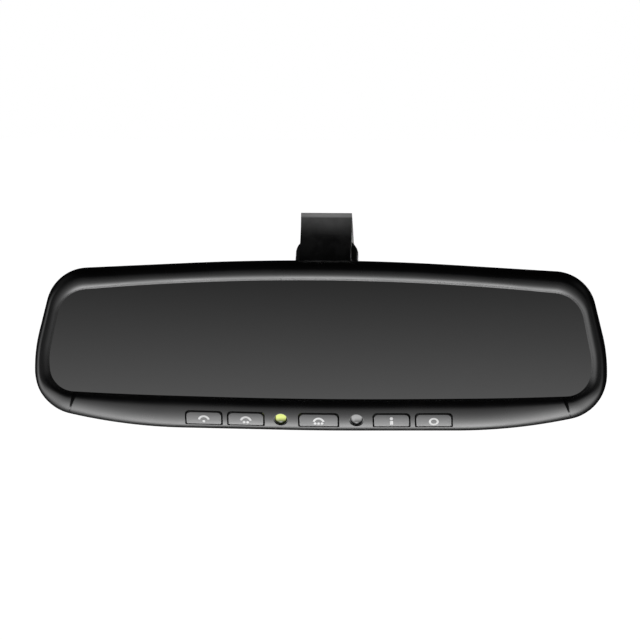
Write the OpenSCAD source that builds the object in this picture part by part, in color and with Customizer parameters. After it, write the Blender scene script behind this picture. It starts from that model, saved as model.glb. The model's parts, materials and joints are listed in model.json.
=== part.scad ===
// Interior rearview mirror with a self-dimming glass, a row of five buttons and a double-ball stay.
// Axes: X to the right, Y forward towards the windshield, Z up. The glass faces -Y.
// The origin is the middle of the bracket's seat on the windshield.

/* [Head] */
// Height of the head's outline above its reference point, at the middle
head_top = 39.4; // [38.5:0.1:40.5]
// Half width of the head's outline at its widest corner vertex
head_half_width = 128; // [126:0.5:130]
// Depth of the front bezel from its crest back to the parting line
bezel_depth = 9.5; // [9.4:0.1:10.5]
// Depth of the rear housing behind the parting line, at the middle
housing_depth_middle = 32.5; // [32:0.5:35]
// Depth of the rear housing behind the parting line, at its ends
housing_depth_end = 17; // [16:0.5:20]
// Wall of the bezel and the rear housing
wall = 2.1; // [1.8:0.1:2.2]

/* [Glass] */
// Thickness of each of the two glass plates
plate_glass = 1.6; // [1.4:0.1:1.6]
// Thickness of the seal between the two plates
seal_thickness = 0.2; // [0.15:0.05:0.25]
// How far the front glass reaches under the bezel's lip
glass_lap = 1.5; // [1.2:0.1:1.6]

/* [Buttons] */
// Width of the four outer buttons
button_width = 15.5; // [15:0.5:17]
// Width of the middle button
middle_button_width = 17; // [16:0.5:18.5]
// Height of a button's face, along the chin
button_height = 6; // [5.6:0.1:6.4]
// How far a button is pressed
button_travel = 0.45; // [0.3:0.05:0.5]
// Gap between a button and the bezel
button_gap = 0.45; // [0.3:0.05:0.5]
// Radius of the indicator's and the sensor's round windows
window_radius = 2.35; // [2:0.05:2.6]

/* [Stay and ball joints] */
// Radius of both balls on the stay
ball_r = 8; // [7.9:0.1:8.1]
// Distance between the two ball centres
stay_length = 43; // [42:0.5:46]
// Angle of the stay above level
stay_rise = 40; // [36:1:42]
// Radius of the stay's neck
neck_r = 3.8; // [3.5:0.1:4]
// Radial clearance between each pair of ball-joint surfaces
ball_fit = 0.1; // [0.05:0.01:0.1]
// Half angle of the sockets' mouths
mouth = 53; // [52:1:56]

/* [Bracket] */
// Windshield's angle from level
rake = 35; // [33:1:38]
// Distance from the windshield seat to the upper ball's centre
ball_drop = 20; // [19.5:0.5:22]
// Width of the bracket's plate and neck
bracket_width = 23.5; // [22.5:0.5:25]
// Outer radius of the bracket's cup
cup_r = 14.5; // [14:0.1:15]
// Width of the channel at its floor
channel_width = 16.4; // [15:0.2:17]
// Depth of the channel under the seat
channel_depth = 4.4; // [4.1:0.1:4.6]

/* [Hidden] */
$fn = 48;
eps = 0.01;

// Places, all worked out from the seat
seat_normal = [0, sin(rake), cos(rake)];
upper_ball = -ball_drop * seat_normal;
stay_axis = [0, cos(stay_rise), sin(stay_rise)];
lower_ball = upper_ball - stay_length * stay_axis;
socket_back = 25;                       // the lower ball's centre behind the bezel's crest
socket_up = 3.5;                        // and above the head's reference point
head_at = lower_ball - [0, socket_back, socket_up];

// Layers of the head, from the crest (0) backwards
lip_y = 2.2;                            // front corner of the bezel's inner edge
ledge_y = 2.7;                          // back of the bezel's lip
glass_y = ledge_y + 0.05;
seal_y = glass_y + plate_glass;
rear_glass_y = seal_y + seal_thickness;
foam_y = rear_glass_y + plate_glass;
foam_thickness = 1;
carrier_y = foam_y + foam_thickness;
carrier_thickness = 2;
carrier_back = carrier_y + carrier_thickness;
board_y = 12;
board_thickness = 1.6;
board_back = board_y + board_thickness;
pocket_lap = glass_lap + 0.5;           // wall of the glass pocket, outside the lip's edge
seam = 0.15;                            // gap at the parting line
housing_y = bezel_depth + seam;

// Ball-joint shells, from the ball outwards
seat_in = ball_r + ball_fit;
seat_out = seat_in + 1.5;
sleeve_in = seat_out + ball_fit;
sleeve_out = sleeve_in + 1;
cup_in = sleeve_out + ball_fit;
socket_r = cup_in + 2.4;

// Outlines: vertices [x, z, corner radius, steps in the corner] of the right half, from the top
outline_half = [[0, head_top, 1150, 17], [head_half_width - 9, 33.1, 18.8, 10],
    [head_half_width, -2.5, 70, 5], [head_half_width + 0.1, -28.2, 20.2, 10],
    [87, -37.3, 250, 4], [0, -38.3, 1500, 7]];
lip_half = [[0, 33.4, 1126, 17], [115, 23.7, 14, 10], [121.2, -6, 30, 5],
    [119.5, -20.9, 11, 10], [87, -22.4, 1500, 4], [0, -24, 2400, 7]];
first_of_loop = 3;                      // starts a loop in the middle of its right side

function unit(v) = v / norm(v);
function mix(a, b, t) = a + (b - a) * t;
function clamp(v, low, high) = min(max(v, low), high);
function smooth(t) = let (c = clamp(t, 0, 1)) c * c * (3 - 2 * c);

// Points of the arc of radius r that rounds the corner b between a and c
function corner_arc(a, b, c, r, steps) =
    let (u = unit(a - b), v = unit(c - b), half = acos(u * v) / 2, turn = 180 - 2 * half,
        middle = b + unit(u + v) * r / sin(half),
        p = b + u * r / tan(half) - middle, q = b + v * r / tan(half) - middle)
    [for (k = [0:steps]) middle
        + (p * sin(turn * (1 - k / steps)) + q * sin(turn * k / steps)) / sin(turn)];

// Whole outline from its right half: right side, over the top, left side, and back underneath
function both_sides(h) =
    let (left = [for (v = h) [-v[0], v[1], v[2], v[3]]])
    [h[2], h[1], h[0], left[1], left[2], left[3], left[4], h[5], h[4], h[3]];
function rounded_loop(h) =
    let (v = both_sides(h), n = len(v),
        loop = [for (i = [0:n - 1]) each corner_arc([v[(i + n - 1) % n][0], v[(i + n - 1) % n][1]],
            [v[i][0], v[i][1]], [v[(i + 1) % n][0], v[(i + 1) % n][1]], v[i][2], v[i][3])])
    [for (i = [0:len(loop) - 1]) loop[(i + first_of_loop) % len(loop)]];

outline = rounded_loop(outline_half);
lip = rounded_loop(lip_half);
around = len(outline);
band = [for (i = [0:around - 1]) norm(lip[i] - outline[i])];
// How far the outline runs to the right at a point: 1 underneath, 0 on the sides, -1 over the top
function run_right(i) = unit(outline[(i + 1) % around] - outline[(i + around - 1) % around])[0];
// 1 on the chin, 0 on the sides and the top
chin_share = [for (i = [0:around - 1]) smooth((run_right(i) - 0.15) / 0.7)];

// A loop that lies a distance outside the lip's edge
function lip_outset(d) = [for (i = [0:around - 1]) mix(lip[i], outline[i], d / band[i])];

// Front surface of the bezel: depth behind the crest at a share s of the way from outline to lip
function crest_share(w) = mix(0.44, 0.74, w);
lip_roll = 2.6;                         // the power of the curve from the crest to the lip
function outer_rise(u, w) = let (flat = 4.5 * w, k = mix(2, 5, w))
    flat * pow(u, 1.5) + (bezel_depth - flat) * (1 - pow(1 - pow(u, k), 1 / k));
function front_depth(s, w) = let (c = crest_share(w))
    s < c ? outer_rise(1 - s / c, w) : lip_y * pow((s - c) / (1 - c), lip_roll);
function at_share(i, s, y) = let (p = mix(outline[i], lip[i], s)) [p[0], y, p[1]];

front_shares = [0, 0.015, 0.05, 0.1, 0.17, 0.26, 0.36, 0.46, 0.55, 0.64, 0.74, 0.83, 0.92, 1];
inner_shares = [0.7, 0.55, 0.4, 0.27];
front_rings = [for (s = front_shares)
    [for (i = [0:around - 1]) at_share(i, s, front_depth(s, chin_share[i]))]];
inner_rings = [for (s = inner_shares)
    [for (i = [0:around - 1]) at_share(i, s, max(ledge_y, front_depth(s, chin_share[i]) + wall))]];

// Faces of a skin over rings of equal length, and of a strip that closes a ring top to bottom
function skin_faces(rings, loop) = let (last = loop ? rings - 1 : rings - 2)
    [for (j = [0:last]) for (i = [0:around - 1])
        let (k = (j + 1) % rings, a = j * around + i, b = j * around + (i + 1) % around,
            c = k * around + (i + 1) % around, d = k * around + i)
        each [[a, b, c], [a, c, d]]];
function strip_faces(base, flip) = [for (i = [0:around / 2 - 2])
    let (a = base + i, b = base + i + 1, c = base + around - 2 - i, d = base + around - 1 - i)
    each flip ? [[a, b, c], [a, c, d]] : [[c, b, a], [d, c, a]]];
module torus_skin(rings) {
    polyhedron(points = [for (r = rings) each r], faces = skin_faces(len(rings), true));
}

module plate(loop, y, thickness) {
    translate([0, y + thickness, 0])
        rotate([90, 0, 0])
            linear_extrude(thickness)
                polygon(loop);
}

// Height of a loop's lower run at x
function low_z(loop, x) = [for (i = [around / 2:around - 2])
    if (loop[i][0] <= x && loop[i + 1][0] > x)
        mix(loop[i][1], loop[i + 1][1], (x - loop[i][0]) / (loop[i + 1][0] - loop[i][0]))][0];
// A point of the chin's surface over x at a share s: [depth, height]
function chin_point(x, s, lift) = [front_depth(s, 1) - lift, mix(low_z(outline, x), low_z(lip, x), s)];

// A placement on the chin: x along it, its own +Z into the head along the press direction
chin_tilt = 30;                         // the face looks down by this angle
face_share = 0.35;                      // the face's middle, as a share of the way to the lip
chin_reach = 6;                         // half of the run over which the chin's slope is taken
function chin_slope(x) = (chin_point(x + chin_reach, face_share, 0)[1]
    - chin_point(x - chin_reach, face_share, 0)[1]) / (2 * chin_reach);
module on_chin(x) {
    middle = chin_point(x, face_share, 0);
    translate([x, middle[0], middle[1]])
        rotate([0, -atan(chin_slope(x)), 0])
            rotate([chin_tilt - 90, 0, 0])
                children();
}
// A chin point in the placement's own plane: [down the face, into the head]
function in_face(x, p) = let (d = p - chin_point(x, face_share, 0))
    [d[0] * sin(chin_tilt) - d[1] * cos(chin_tilt), d[0] * cos(chin_tilt) + d[1] * sin(chin_tilt)];

button_top_corner = 1.9;
button_low_corner = 0.6;
// Outline of a button, its lower edge towards +Y
module button_shape(width, grow) {
    w = width / 2 + grow;
    h = button_height / 2 + grow;
    translate([-w, button_top_corner - h])
        square([2 * w, 2 * h - button_top_corner - button_low_corner]);
    translate([button_top_corner - w, -h]) square([2 * (w - button_top_corner), h]);
    translate([button_low_corner - w, 0]) square([2 * (w - button_low_corner), h]);
    for (side = [-1, 1]) {
        translate([side * (w - button_top_corner), button_top_corner - h])
            circle(button_top_corner);
        translate([side * (w - button_low_corner), h - button_low_corner])
            circle(button_low_corner);
    }
}
// The buttons' pitch: [x, width] in order from the left
outer_at = 51.3;
inner_at = 32.5;
window_at = 16.9;
buttons = [[-outer_at, button_width], [-inner_at, button_width], [0, middle_button_width],
    [inner_at, button_width], [outer_at, button_width]];

/* ---------- bracket ---------- */

// Turns the seat's own frame into place: +Z out of the seat, +Y down the slope
module in_seat() {
    rotate([-rake, 0, 0]) children();
}
plate_front = 17;
plate_rear = 19;
plate_thickness = 7.6;
channel_end = 9.4;                      // the channel's closed end, up the slope
channel_mouth = channel_width - 2.6;    // narrower at the seat, so the lips hold the button
screw_at = 15.4;
set_screw_r = 2;
cup_mouth = 7.4;                        // the cup's rim below the ball's centre
cup_back = 11.6;                        // its closed end above it
cup_round = 3.5;
neck_half = 10;
end_face = 1.4;                         // length of the flat at the plate's front end
end_tilt = -6;                          // its angle from upright, below 0 when it looks up
front_sweep = 14.4;                     // radius of the neck's hollow front under it
neck_foot = 24;                         // how far the neck's front runs down from the seat

module bracket_profile() {
    // In the seat's frame: x is down the slope, y is out of the seat
    tip = plate_front * [-cos(rake), sin(rake)];
    under_tip = tip + end_face * [sin(end_tilt), -cos(end_tilt)];
    hollow = [for (k = [0:0.1:1]) under_tip + front_sweep * [cos(rake * k) - 1, -sin(rake * k)]];
    front = [for (p = concat([tip], hollow))
        [p[0] * cos(rake) - p[1] * sin(rake), p[0] * sin(rake) + p[1] * cos(rake)]];
    polygon(concat(front,
        [[front[len(front) - 1][0], -neck_foot], [2 - neck_half, -neck_foot],
        [2 - neck_half, -ball_drop + 5], [neck_half, -ball_drop + 5],
        [neck_half, -plate_thickness - 1.4], [neck_half + 1.4, -plate_thickness],
        [plate_rear - 1, -plate_thickness], [plate_rear, -plate_thickness + 1],
        [plate_rear, 0]]));
}
module channel() {
    mirror([0, 0, 1])
        translate([0, plate_rear + 1, 0])
            rotate([90, 0, 0])
                linear_extrude(plate_rear + 1 + channel_end)
                    polygon([[-channel_mouth / 2, -1], [channel_mouth / 2, -1],
                        [channel_mouth / 2, 1.2], [channel_width / 2, 2.2],
                        [channel_width / 2, channel_depth], [-channel_width / 2, channel_depth],
                        [-channel_width / 2, 2.2], [-channel_mouth / 2, 1.2]]);
}
// The cup, its own +Z up towards the seat and its origin at the ball's centre
module cup_body() {
    rotate_extrude()
        polygon(concat([[0, -cup_mouth]], [[cup_r - 1, -cup_mouth], [cup_r, -cup_mouth + 1]],
            [for (a = [0:15:90]) [cup_r - cup_round + cup_round * cos(a),
                cup_back - cup_round + cup_round * sin(a)]], [[0, cup_back]]));
}
module windshield_bracket() {
    color([0.07, 0.07, 0.075])
        in_seat()
            difference() {
                union() {
                    rotate([90, 0, 90])
                        translate([0, 0, -bracket_width / 2])
                            linear_extrude(bracket_width)
                                bracket_profile();
                    translate([0, 0, -ball_drop]) cup_body();
                }
                channel();
                translate([0, 0, -ball_drop]) {
                    sphere(cup_in);
                    translate([0, 0, -cup_mouth - 1]) cylinder(h = cup_mouth + 1, r = cup_in);
                    translate([0, 0, -cup_mouth - 1]) cylinder(h = 4.4, r = cup_in + 1.4);
                }
                translate([0, screw_at, -plate_thickness - 1])
                    cylinder(h = plate_thickness, r = set_screw_r);
            }
}
module bracket_set_screw() {
    color([0.3, 0.3, 0.32])
        in_seat()
            translate([0, screw_at, -plate_thickness - 0.6])
                difference() {
                    cylinder(h = 4.6, r = set_screw_r - 0.03);
                    translate([0, 0, -eps]) cylinder(h = 2.2, r = 1.1, $fn = 6);
                }
}
module upper_socket_ring() {
    color([0.12, 0.12, 0.13])
        in_seat()
            translate([0, 0, -ball_drop])
                difference() {
                    union() {
                        translate([0, 0, -cup_mouth + 3.3]) mirror([0, 0, 1])
                            cylinder(h = 3.8, r = cup_in + 1.35);
                        translate([0, 0, -cup_mouth - 0.5]) cylinder(h = cup_mouth, r = cup_in - 0.05);
                    }
                    sphere(cup_in);
                    mirror([0, 0, 1]) cylinder(h = 2 * cup_r, r1 = 0, r2 = 2 * cup_r * tan(mouth + 3));
                }
}

/* ---------- ball joints and stay ---------- */

// A spherical shell with a mouth along its own +Z and slots that let it open over the ball
module slotted_shell(r_in, r_out, half_angle, slots, slot_width) {
    difference() {
        sphere(r_out);
        sphere(r_in);
        cylinder(h = 2 * r_out, r1 = 0, r2 = 2 * r_out * tan(half_angle));
        for (k = [0:slots - 1])
            rotate([0, 0, 360 * k / slots])
                translate([0, -slot_width / 2, -1]) cube([r_out + 1, slot_width, r_out + 1]);
    }
}
module facing_up() {
    rotate([stay_rise - 90, 0, 0]) children();
}
module facing_down() {
    rotate([90 + stay_rise, 0, 0]) children();
}
module upper_clamp_sleeve() {
    color([0.6, 0.6, 0.62])
        translate(upper_ball) facing_down()
            slotted_shell(sleeve_in, sleeve_out, mouth, 6, 1);
}
module upper_ball_seat() {
    color([0.85, 0.84, 0.8])
        translate(upper_ball) facing_down()
            slotted_shell(seat_in, seat_out, mouth, 4, 0.8);
}
module lower_ball_seat() {
    color([0.85, 0.84, 0.8])
        translate(lower_ball) facing_up()
            slotted_shell(seat_in, seat_out, mouth, 4, 0.8);
}
module lower_clamp_sleeve() {
    color([0.6, 0.6, 0.62])
        translate(lower_ball) facing_up()
            slotted_shell(sleeve_in, sleeve_out, mouth, 6, 1);
}
module stay_arm() {
    color([0.45, 0.45, 0.47])
        translate(lower_ball) facing_up() {
            sphere(ball_r);
            cylinder(h = stay_length, r = neck_r);
            translate([0, 0, stay_length]) sphere(ball_r);
        }
}
cover_start = 15.2;
cover_end = stay_length - 16.4;
cover_r = 5.2;
module stay_cover() {
    color([0.06, 0.06, 0.06])
        translate(lower_ball) facing_up()
            rotate_extrude()
                polygon([[neck_r + 0.05, cover_start], [cover_r - 0.6, cover_start],
                    [cover_r, cover_start + 1.2], [cover_r, cover_end - 1.2],
                    [cover_r - 0.6, cover_end], [neck_r + 0.05, cover_end]]);
}

/* ---------- socket in the head ---------- */

flange_y = 11.15;
flange_thickness = 2.5;
flange_r = 17;
socket_screw_circle = 14.3;
socket_screw_angles = [90, 210, 330];
module head_y(y) {
    translate([0, y, 0]) rotate([-90, 0, 0]) children();
}
module at_head() {
    translate(head_at) children();
}
module at_socket_screws() {
    translate([0, 0, socket_up])
        for (a = socket_screw_angles)
            translate(socket_screw_circle * [cos(a), 0, sin(a)]) children();
}
module half_space_behind_ball() {
    facing_up() translate([-30, -30, 0]) cube([60, 60, 40]);
}
module socket_cup() {
    color([0.13, 0.13, 0.14])
        difference() {
            union() {
                at_head() translate([0, 0, socket_up]) {
                    head_y(flange_y) cylinder(h = flange_thickness, r = flange_r);
                    head_y(flange_y) cylinder(h = 8, r = 10.6);
                }
                translate(lower_ball) sphere(socket_r);
            }
            translate(lower_ball) sphere(cup_in);
            translate(lower_ball) half_space_behind_ball();
            at_head() at_socket_screws() head_y(flange_y - 1) cylinder(h = 5, r = 1.6);
        }
}
module socket_ring() {
    color([0.16, 0.16, 0.17])
        translate(lower_ball) facing_up()
            difference() {
                union() {
                    sphere(socket_r);
                    translate([0, 0, 0.05]) cylinder(h = 2.2, r = socket_r + 0.9);
                }
                sphere(cup_in);
                cylinder(h = 2 * socket_r, r1 = 0, r2 = 2 * socket_r * tan(mouth));
                translate([-30, -30, -60 + 0.05]) cube([60, 60, 60]);
            }
}
// A pan-head screw along its own +Z, its head's underside at the origin
module screw(r, length, head_r, head_h) {
    difference() {
        union() {
            translate([0, 0, -length]) cylinder(h = length, r = r);
            cylinder(h = head_h, r = head_r);
        }
        translate([0, 0, head_h - 1]) {
            translate([-head_r * 0.6, -0.3, 0]) cube([head_r * 1.2, 0.6, 2]);
            translate([-0.3, -head_r * 0.6, 0]) cube([0.6, head_r * 1.2, 2]);
        }
    }
}
module socket_screws() {
    color([0.5, 0.5, 0.52])
        at_head() at_socket_screws()
            head_y(flange_y + flange_thickness) screw(1.45, 5.6, 2.6, 1.9);
}

/* ---------- shells ---------- */

spine_z = 3;
spine_scale = 0.6;
spine = [for (p = outline) [p[0] * spine_scale, spine_z]];
housing_swell = 58;                     // half width of the deep middle
function depth_at(x) = housing_depth_end
    + (housing_depth_middle - housing_depth_end) * exp(-pow(x / housing_swell, 2));
function dome(t) = pow(1 - pow(1 - t, 2.2), 1 / 2.2);
function dome_point(i, t, inset) =
    let (reach = norm(spine[i] - outline[i]), start = mix(outline[i], spine[i], inset / reach),
        p = mix(start, spine[i], t))
    [p[0], housing_y + (depth_at(p[0]) - inset) * dome(t), p[1]];
dome_shares = [0, 0.01, 0.04, 0.09, 0.16, 0.26, 0.4, 0.58, 0.78, 0.94];
module dome_shell() {
    outer = [for (k = [len(dome_shares) - 1:-1:0])
        [for (i = [0:around - 1]) dome_point(i, dome_shares[k], 0)]];
    inner = [for (t = dome_shares) [for (i = [0:around - 1]) dome_point(i, t, wall)]];
    rings = concat(outer, inner);
    polyhedron(points = [for (r = rings) each r],
        faces = concat(skin_faces(len(rings), false), strip_faces(0, false),
            strip_faces((len(rings) - 1) * around, true)));
}
aperture_r = 15.3;
connector_at = [40, 3];
connector_size = [19, 11];
ambient_at = [-38, 3];
ambient_r = 3.5;
module rear_housing() {
    color([0.05, 0.05, 0.055])
        difference() {
            at_head() dome_shell();
            translate(lower_ball) facing_up() cylinder(h = 40, r = aperture_r);
            at_head() {
                translate([connector_at[0] - connector_size[0] / 2 - 0.25, 20,
                        connector_at[1] - connector_size[1] / 2 - 0.25])
                    cube([connector_size[0] + 0.5, 30, connector_size[1] + 0.5]);
                translate([ambient_at[0], 0, ambient_at[1]])
                    head_y(20) cylinder(h = 30, r = ambient_r + 0.15);
            }
        }
}
module bezel_shell() {
    back_rings = [for (y = [6.6, bezel_depth])
        [for (i = [0:around - 1]) at_share(i, (wall - 0.1) / band[i], y)]];
    lip_rings = [[for (i = [0:around - 1]) at_share(i, 1, ledge_y)],
        [for (i = [0:around - 1]) at_share(i, 1 - pocket_lap / band[i], ledge_y)]];
    torus_skin(concat(front_rings, lip_rings, inner_rings, back_rings));
}
module front_bezel() {
    color([0.06, 0.06, 0.06])
        at_head()
            difference() {
                bezel_shell();
                for (b = buttons)
                    on_chin(b[0]) translate([0, 0, -6]) linear_extrude(20)
                        button_shape(b[1], button_gap);
                for (side = [-1, 1])
                    on_chin(side * window_at) {
                        translate([0, 0, -5]) cylinder(h = 20, r = window_radius + 0.1);
                        translate([0, 0, -5]) cylinder(h = 5.6, r = window_radius + 0.65);
                    }
            }
}

/* ---------- buttons, indicator and sensors ---------- */

button_proud = 0.3;
foot_y = 9.2;
button_shares = [0.02, 0.05, 0.1, 0.16, 0.24, 0.32, 0.4, 0.48, 0.56, 0.66];
// The button's face follows the chin, a little proud of it
module chin_button(place) {
    x = place[0];
    face = [for (s = button_shares) in_face(x, chin_point(x, s, button_proud))];
    foot = [for (z = [-20, -45]) in_face(x, [foot_y, z])];
    at_head()
        on_chin(x)
            intersection() {
                translate([0, 0, -6]) linear_extrude(20) button_shape(place[1], 0);
                rotate([90, 0, 90])
                    translate([0, 0, -place[1]])
                        linear_extrude(2 * place[1])
                            polygon(concat(face, foot));
            }
}
module opener_button_one() { color([0.2, 0.2, 0.2]) chin_button(buttons[0]); }
module opener_button_two() { color([0.2, 0.2, 0.2]) chin_button(buttons[1]); }
module opener_button_three() { color([0.2, 0.2, 0.2]) chin_button(buttons[2]); }
module light_button() { color([0.2, 0.2, 0.2]) chin_button(buttons[3]); }
module power_button() { color([0.2, 0.2, 0.2]) chin_button(buttons[4]); }

lens_length = 9.2;
module window_lens() {
    intersection() {
        union() {
            translate([0, 0, window_radius - 1.2])
                cylinder(h = lens_length - window_radius, r = window_radius);
            translate([0, 0, window_radius - 1.2]) sphere(window_radius);
        }
        translate([0, 0, -3]) cylinder(h = lens_length + 3, r = window_radius + 1);
    }
}
module led_lens() {
    color([0.7, 0.9, 0.2])
        at_head() on_chin(-window_at) window_lens();
}
module glare_sensor_lens() {
    color([0.6, 0.6, 0.6])
        at_head() on_chin(window_at) window_lens();
}

module board_chip(x, z, size, front) {
    translate([x - size[0] / 2, front ? board_y - size[1] : board_back, z - size[2] / 2])
        cube(size);
}
switch_z = -29.3;
lens_z = -28.2;
module status_led() {
    color([0.9, 0.9, 0.8])
        at_head() board_chip(-window_at, lens_z, [2, 0.7, 1.6], true);
}
module glare_sensor() {
    color([0.15, 0.15, 0.2])
        at_head() board_chip(window_at, lens_z, [3, 0.7, 2.2], true);
}
module ambient_sensor() {
    color([0.15, 0.15, 0.2])
        at_head() board_chip(ambient_at[0], ambient_at[1], [5, 1.4, 4], false);
}
module ambient_sensor_lens() {
    color([0.75, 0.8, 0.8])
        at_head() translate([ambient_at[0], 0, ambient_at[1]])
            head_y(15.3) {
                cylinder(h = 18.7, r = ambient_r);
                cylinder(h = 3, r = ambient_r + 1);
            }
}

/* ---------- inside the head ---------- */

module front_glass() {
    color([0.35, 0.37, 0.4])
        at_head() plate(lip_outset(glass_lap), glass_y, plate_glass);
}
module rear_glass() {
    color([0.3, 0.32, 0.35])
        at_head() plate(lip_outset(glass_lap - 0.7), rear_glass_y, plate_glass);
}
module cell_seal() {
    color([0.2, 0.2, 0.2])
        at_head()
            difference() {
                plate(lip_outset(glass_lap - 0.9), seal_y, seal_thickness);
                translate([0, -1, 0]) plate(lip_outset(-1.2), seal_y, seal_thickness + 2);
            }
}
clip_half_length = 90;
module bus_clip(up) {
    at_head()
        intersection() {
            difference() {
                plate(lip_outset(glass_lap - 0.25), rear_glass_y, plate_glass + 0.2);
                translate([0, -1, 0])
                    plate(lip_outset(glass_lap - 0.65), rear_glass_y, plate_glass + 1);
                translate([0, -1, 0]) plate(lip_outset(-1.3), rear_glass_y, plate_glass + 3);
            }
            translate([-clip_half_length, 0, up ? 15 : -35]) cube([2 * clip_half_length, 12, 20]);
        }
}
module bus_clip_upper() { color([0.75, 0.6, 0.35]) bus_clip(true); }
module bus_clip_lower() { color([0.75, 0.6, 0.35]) bus_clip(false); }
module foam_pad() {
    color([0.25, 0.25, 0.25]) at_head() plate(lip_outset(-3), foam_y, foam_thickness);
}
board_screw_places = [[-84, 12], [84, 12], [-84, -14], [84, -14], [-34, -14], [34, -14]];
module carrier_plate() {
    color([0.3, 0.3, 0.31])
        at_head()
            difference() {
                union() {
                    plate(lip_outset(glass_lap - 0.6), carrier_y, carrier_thickness);
                    translate([0, 0, socket_up])
                        head_y(carrier_y) cylinder(h = flange_y - carrier_y, r = flange_r + 0.5);
                    for (p = board_screw_places)
                        translate([p[0], 0, p[1]])
                            head_y(carrier_y) cylinder(h = board_y - carrier_y, r = 3);
                }
                at_socket_screws() head_y(carrier_y + 0.6) cylinder(h = 8, r = 1.5);
                for (p = board_screw_places)
                    translate([p[0], 0, p[1]]) head_y(carrier_y + 0.6) cylinder(h = 8, r = 1.1);
            }
}
board_cutout_r = 18.5;
module circuit_board() {
    color([0.05, 0.3, 0.15])
        at_head()
            difference() {
                union() {
                    translate([-92, board_y, -18.5]) cube([184, board_thickness, 36.5]);
                    translate([-64, board_y, -32]) cube([128, board_thickness, 14]);
                }
                translate([0, 0, socket_up])
                    head_y(board_y - 1) cylinder(h = 4, r = board_cutout_r);
                for (p = board_screw_places)
                    translate([p[0], 0, p[1]]) head_y(board_y - 1) cylinder(h = 4, r = 1.3);
            }
}
module board_screws() {
    color([0.5, 0.5, 0.52])
        at_head()
            for (p = board_screw_places)
                translate([p[0], 0, p[1]]) head_y(board_back) screw(1.05, 5.4, 2.1, 1.5);
}
module tact_switches() {
    color([0.2, 0.2, 0.22])
        at_head()
            for (b = buttons) board_chip(b[0], switch_z, [4.5, 1.1, 4.5], true);
}
module controller_chips() {
    color([0.1, 0.1, 0.1])
        at_head() {
            board_chip(62, -8, [10, 1.2, 10], false);
            board_chip(-28, -12, [5, 1.4, 4], false);
            board_chip(70, 8, [6.5, 1.6, 5], false);
            board_chip(22, -22, [5, 1.4, 4], false);
        }
}
module shield_can() {
    color([0.7, 0.7, 0.7])
        at_head()
            difference() {
                board_chip(-64, -2, [26, 4, 22], false);
                board_chip(-64, -2, [25.4, 3.7, 21.4], false);
            }
}
shroud_end = 33;
module connector_header() {
    color([0.85, 0.85, 0.8])
        at_head()
            translate([connector_at[0], 0, connector_at[1]])
                difference() {
                    translate([-connector_size[0] / 2, board_back, -connector_size[1] / 2])
                        cube([connector_size[0], shroud_end - board_back, connector_size[1]]);
                    translate([1.3 - connector_size[0] / 2, shroud_end - 11, 1.3 - connector_size[1] / 2])
                        cube([connector_size[0] - 2.6, 12, connector_size[1] - 2.6]);
                    at_pins() translate([-0.34, board_back - 1, -0.34]) cube([0.68, 30, 0.68]);
                }
}
pin_pitch = 2.54;
module at_pins() {
    for (column = [-2:2])
        for (row = [-0.5, 0.5])
            translate([column * pin_pitch, 0, row * pin_pitch]) children();
}
module connector_pins() {
    color([0.85, 0.75, 0.4])
        at_head()
            translate([connector_at[0], 0, connector_at[1]])
                at_pins()
                    translate([-0.32, board_back, -0.32])
                        cube([0.64, shroud_end - 6 - board_back, 0.64]);
}
module button_pad() {
    color([0.4, 0.4, 0.42])
        at_head() {
            translate([-61, 9.75, -31.8]) cube([41, 0.7, 5]);
            translate([20, 9.75, -31.8]) cube([41, 0.7, 5]);
            translate([-11, 9.75, -31.8]) cube([22, 0.7, 5]);
        }
}

windshield_bracket();
bracket_set_screw();
upper_socket_ring();
upper_clamp_sleeve();
upper_ball_seat();
stay_arm();
stay_cover();
lower_ball_seat();
lower_clamp_sleeve();
socket_ring();
socket_cup();
socket_screws();
rear_housing();
front_bezel();
front_glass();
cell_seal();
rear_glass();
bus_clip_upper();
bus_clip_lower();
foam_pad();
carrier_plate();
circuit_board();
board_screws();
tact_switches();
controller_chips();
shield_can();
status_led();
led_lens();
glare_sensor();
glare_sensor_lens();
ambient_sensor();
ambient_sensor_lens();
connector_header();
connector_pins();
button_pad();
opener_button_one();
opener_button_two();
opener_button_three();
light_button();
power_button();
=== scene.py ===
"""A car's interior rearview mirror: the detailed pieces and finishes over its frame.

Lengths inside the classes are in millimetres, as in the part's own source, and are turned
into metres where a mesh is written. Axes: X right, Y forward, Z up; the glass faces -Y.
"""

import json
import logging
import math
from bisect import bisect_left
from dataclasses import dataclass
from enum import Enum
from typing import Callable, Optional, Sequence

import bmesh
import bpy
from mathutils import Matrix, Vector


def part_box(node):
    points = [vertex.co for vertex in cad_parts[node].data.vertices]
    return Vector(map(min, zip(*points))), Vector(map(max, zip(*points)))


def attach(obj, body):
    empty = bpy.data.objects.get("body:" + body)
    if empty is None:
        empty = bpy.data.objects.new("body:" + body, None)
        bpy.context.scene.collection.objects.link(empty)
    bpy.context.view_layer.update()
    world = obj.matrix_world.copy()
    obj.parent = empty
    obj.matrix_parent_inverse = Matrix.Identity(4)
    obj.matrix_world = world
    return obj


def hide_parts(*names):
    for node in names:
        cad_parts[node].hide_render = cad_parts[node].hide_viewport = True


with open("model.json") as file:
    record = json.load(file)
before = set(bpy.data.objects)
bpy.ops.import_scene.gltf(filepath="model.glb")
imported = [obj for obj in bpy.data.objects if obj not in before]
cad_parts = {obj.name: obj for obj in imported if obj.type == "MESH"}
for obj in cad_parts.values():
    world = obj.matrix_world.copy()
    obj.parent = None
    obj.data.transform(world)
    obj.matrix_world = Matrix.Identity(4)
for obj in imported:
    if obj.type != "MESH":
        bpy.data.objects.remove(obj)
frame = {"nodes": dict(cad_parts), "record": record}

MM = 0.001
LOG = logging.getLogger("rearview_mirror")
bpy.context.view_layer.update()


# ---------------------------------------------------------------- places


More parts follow.
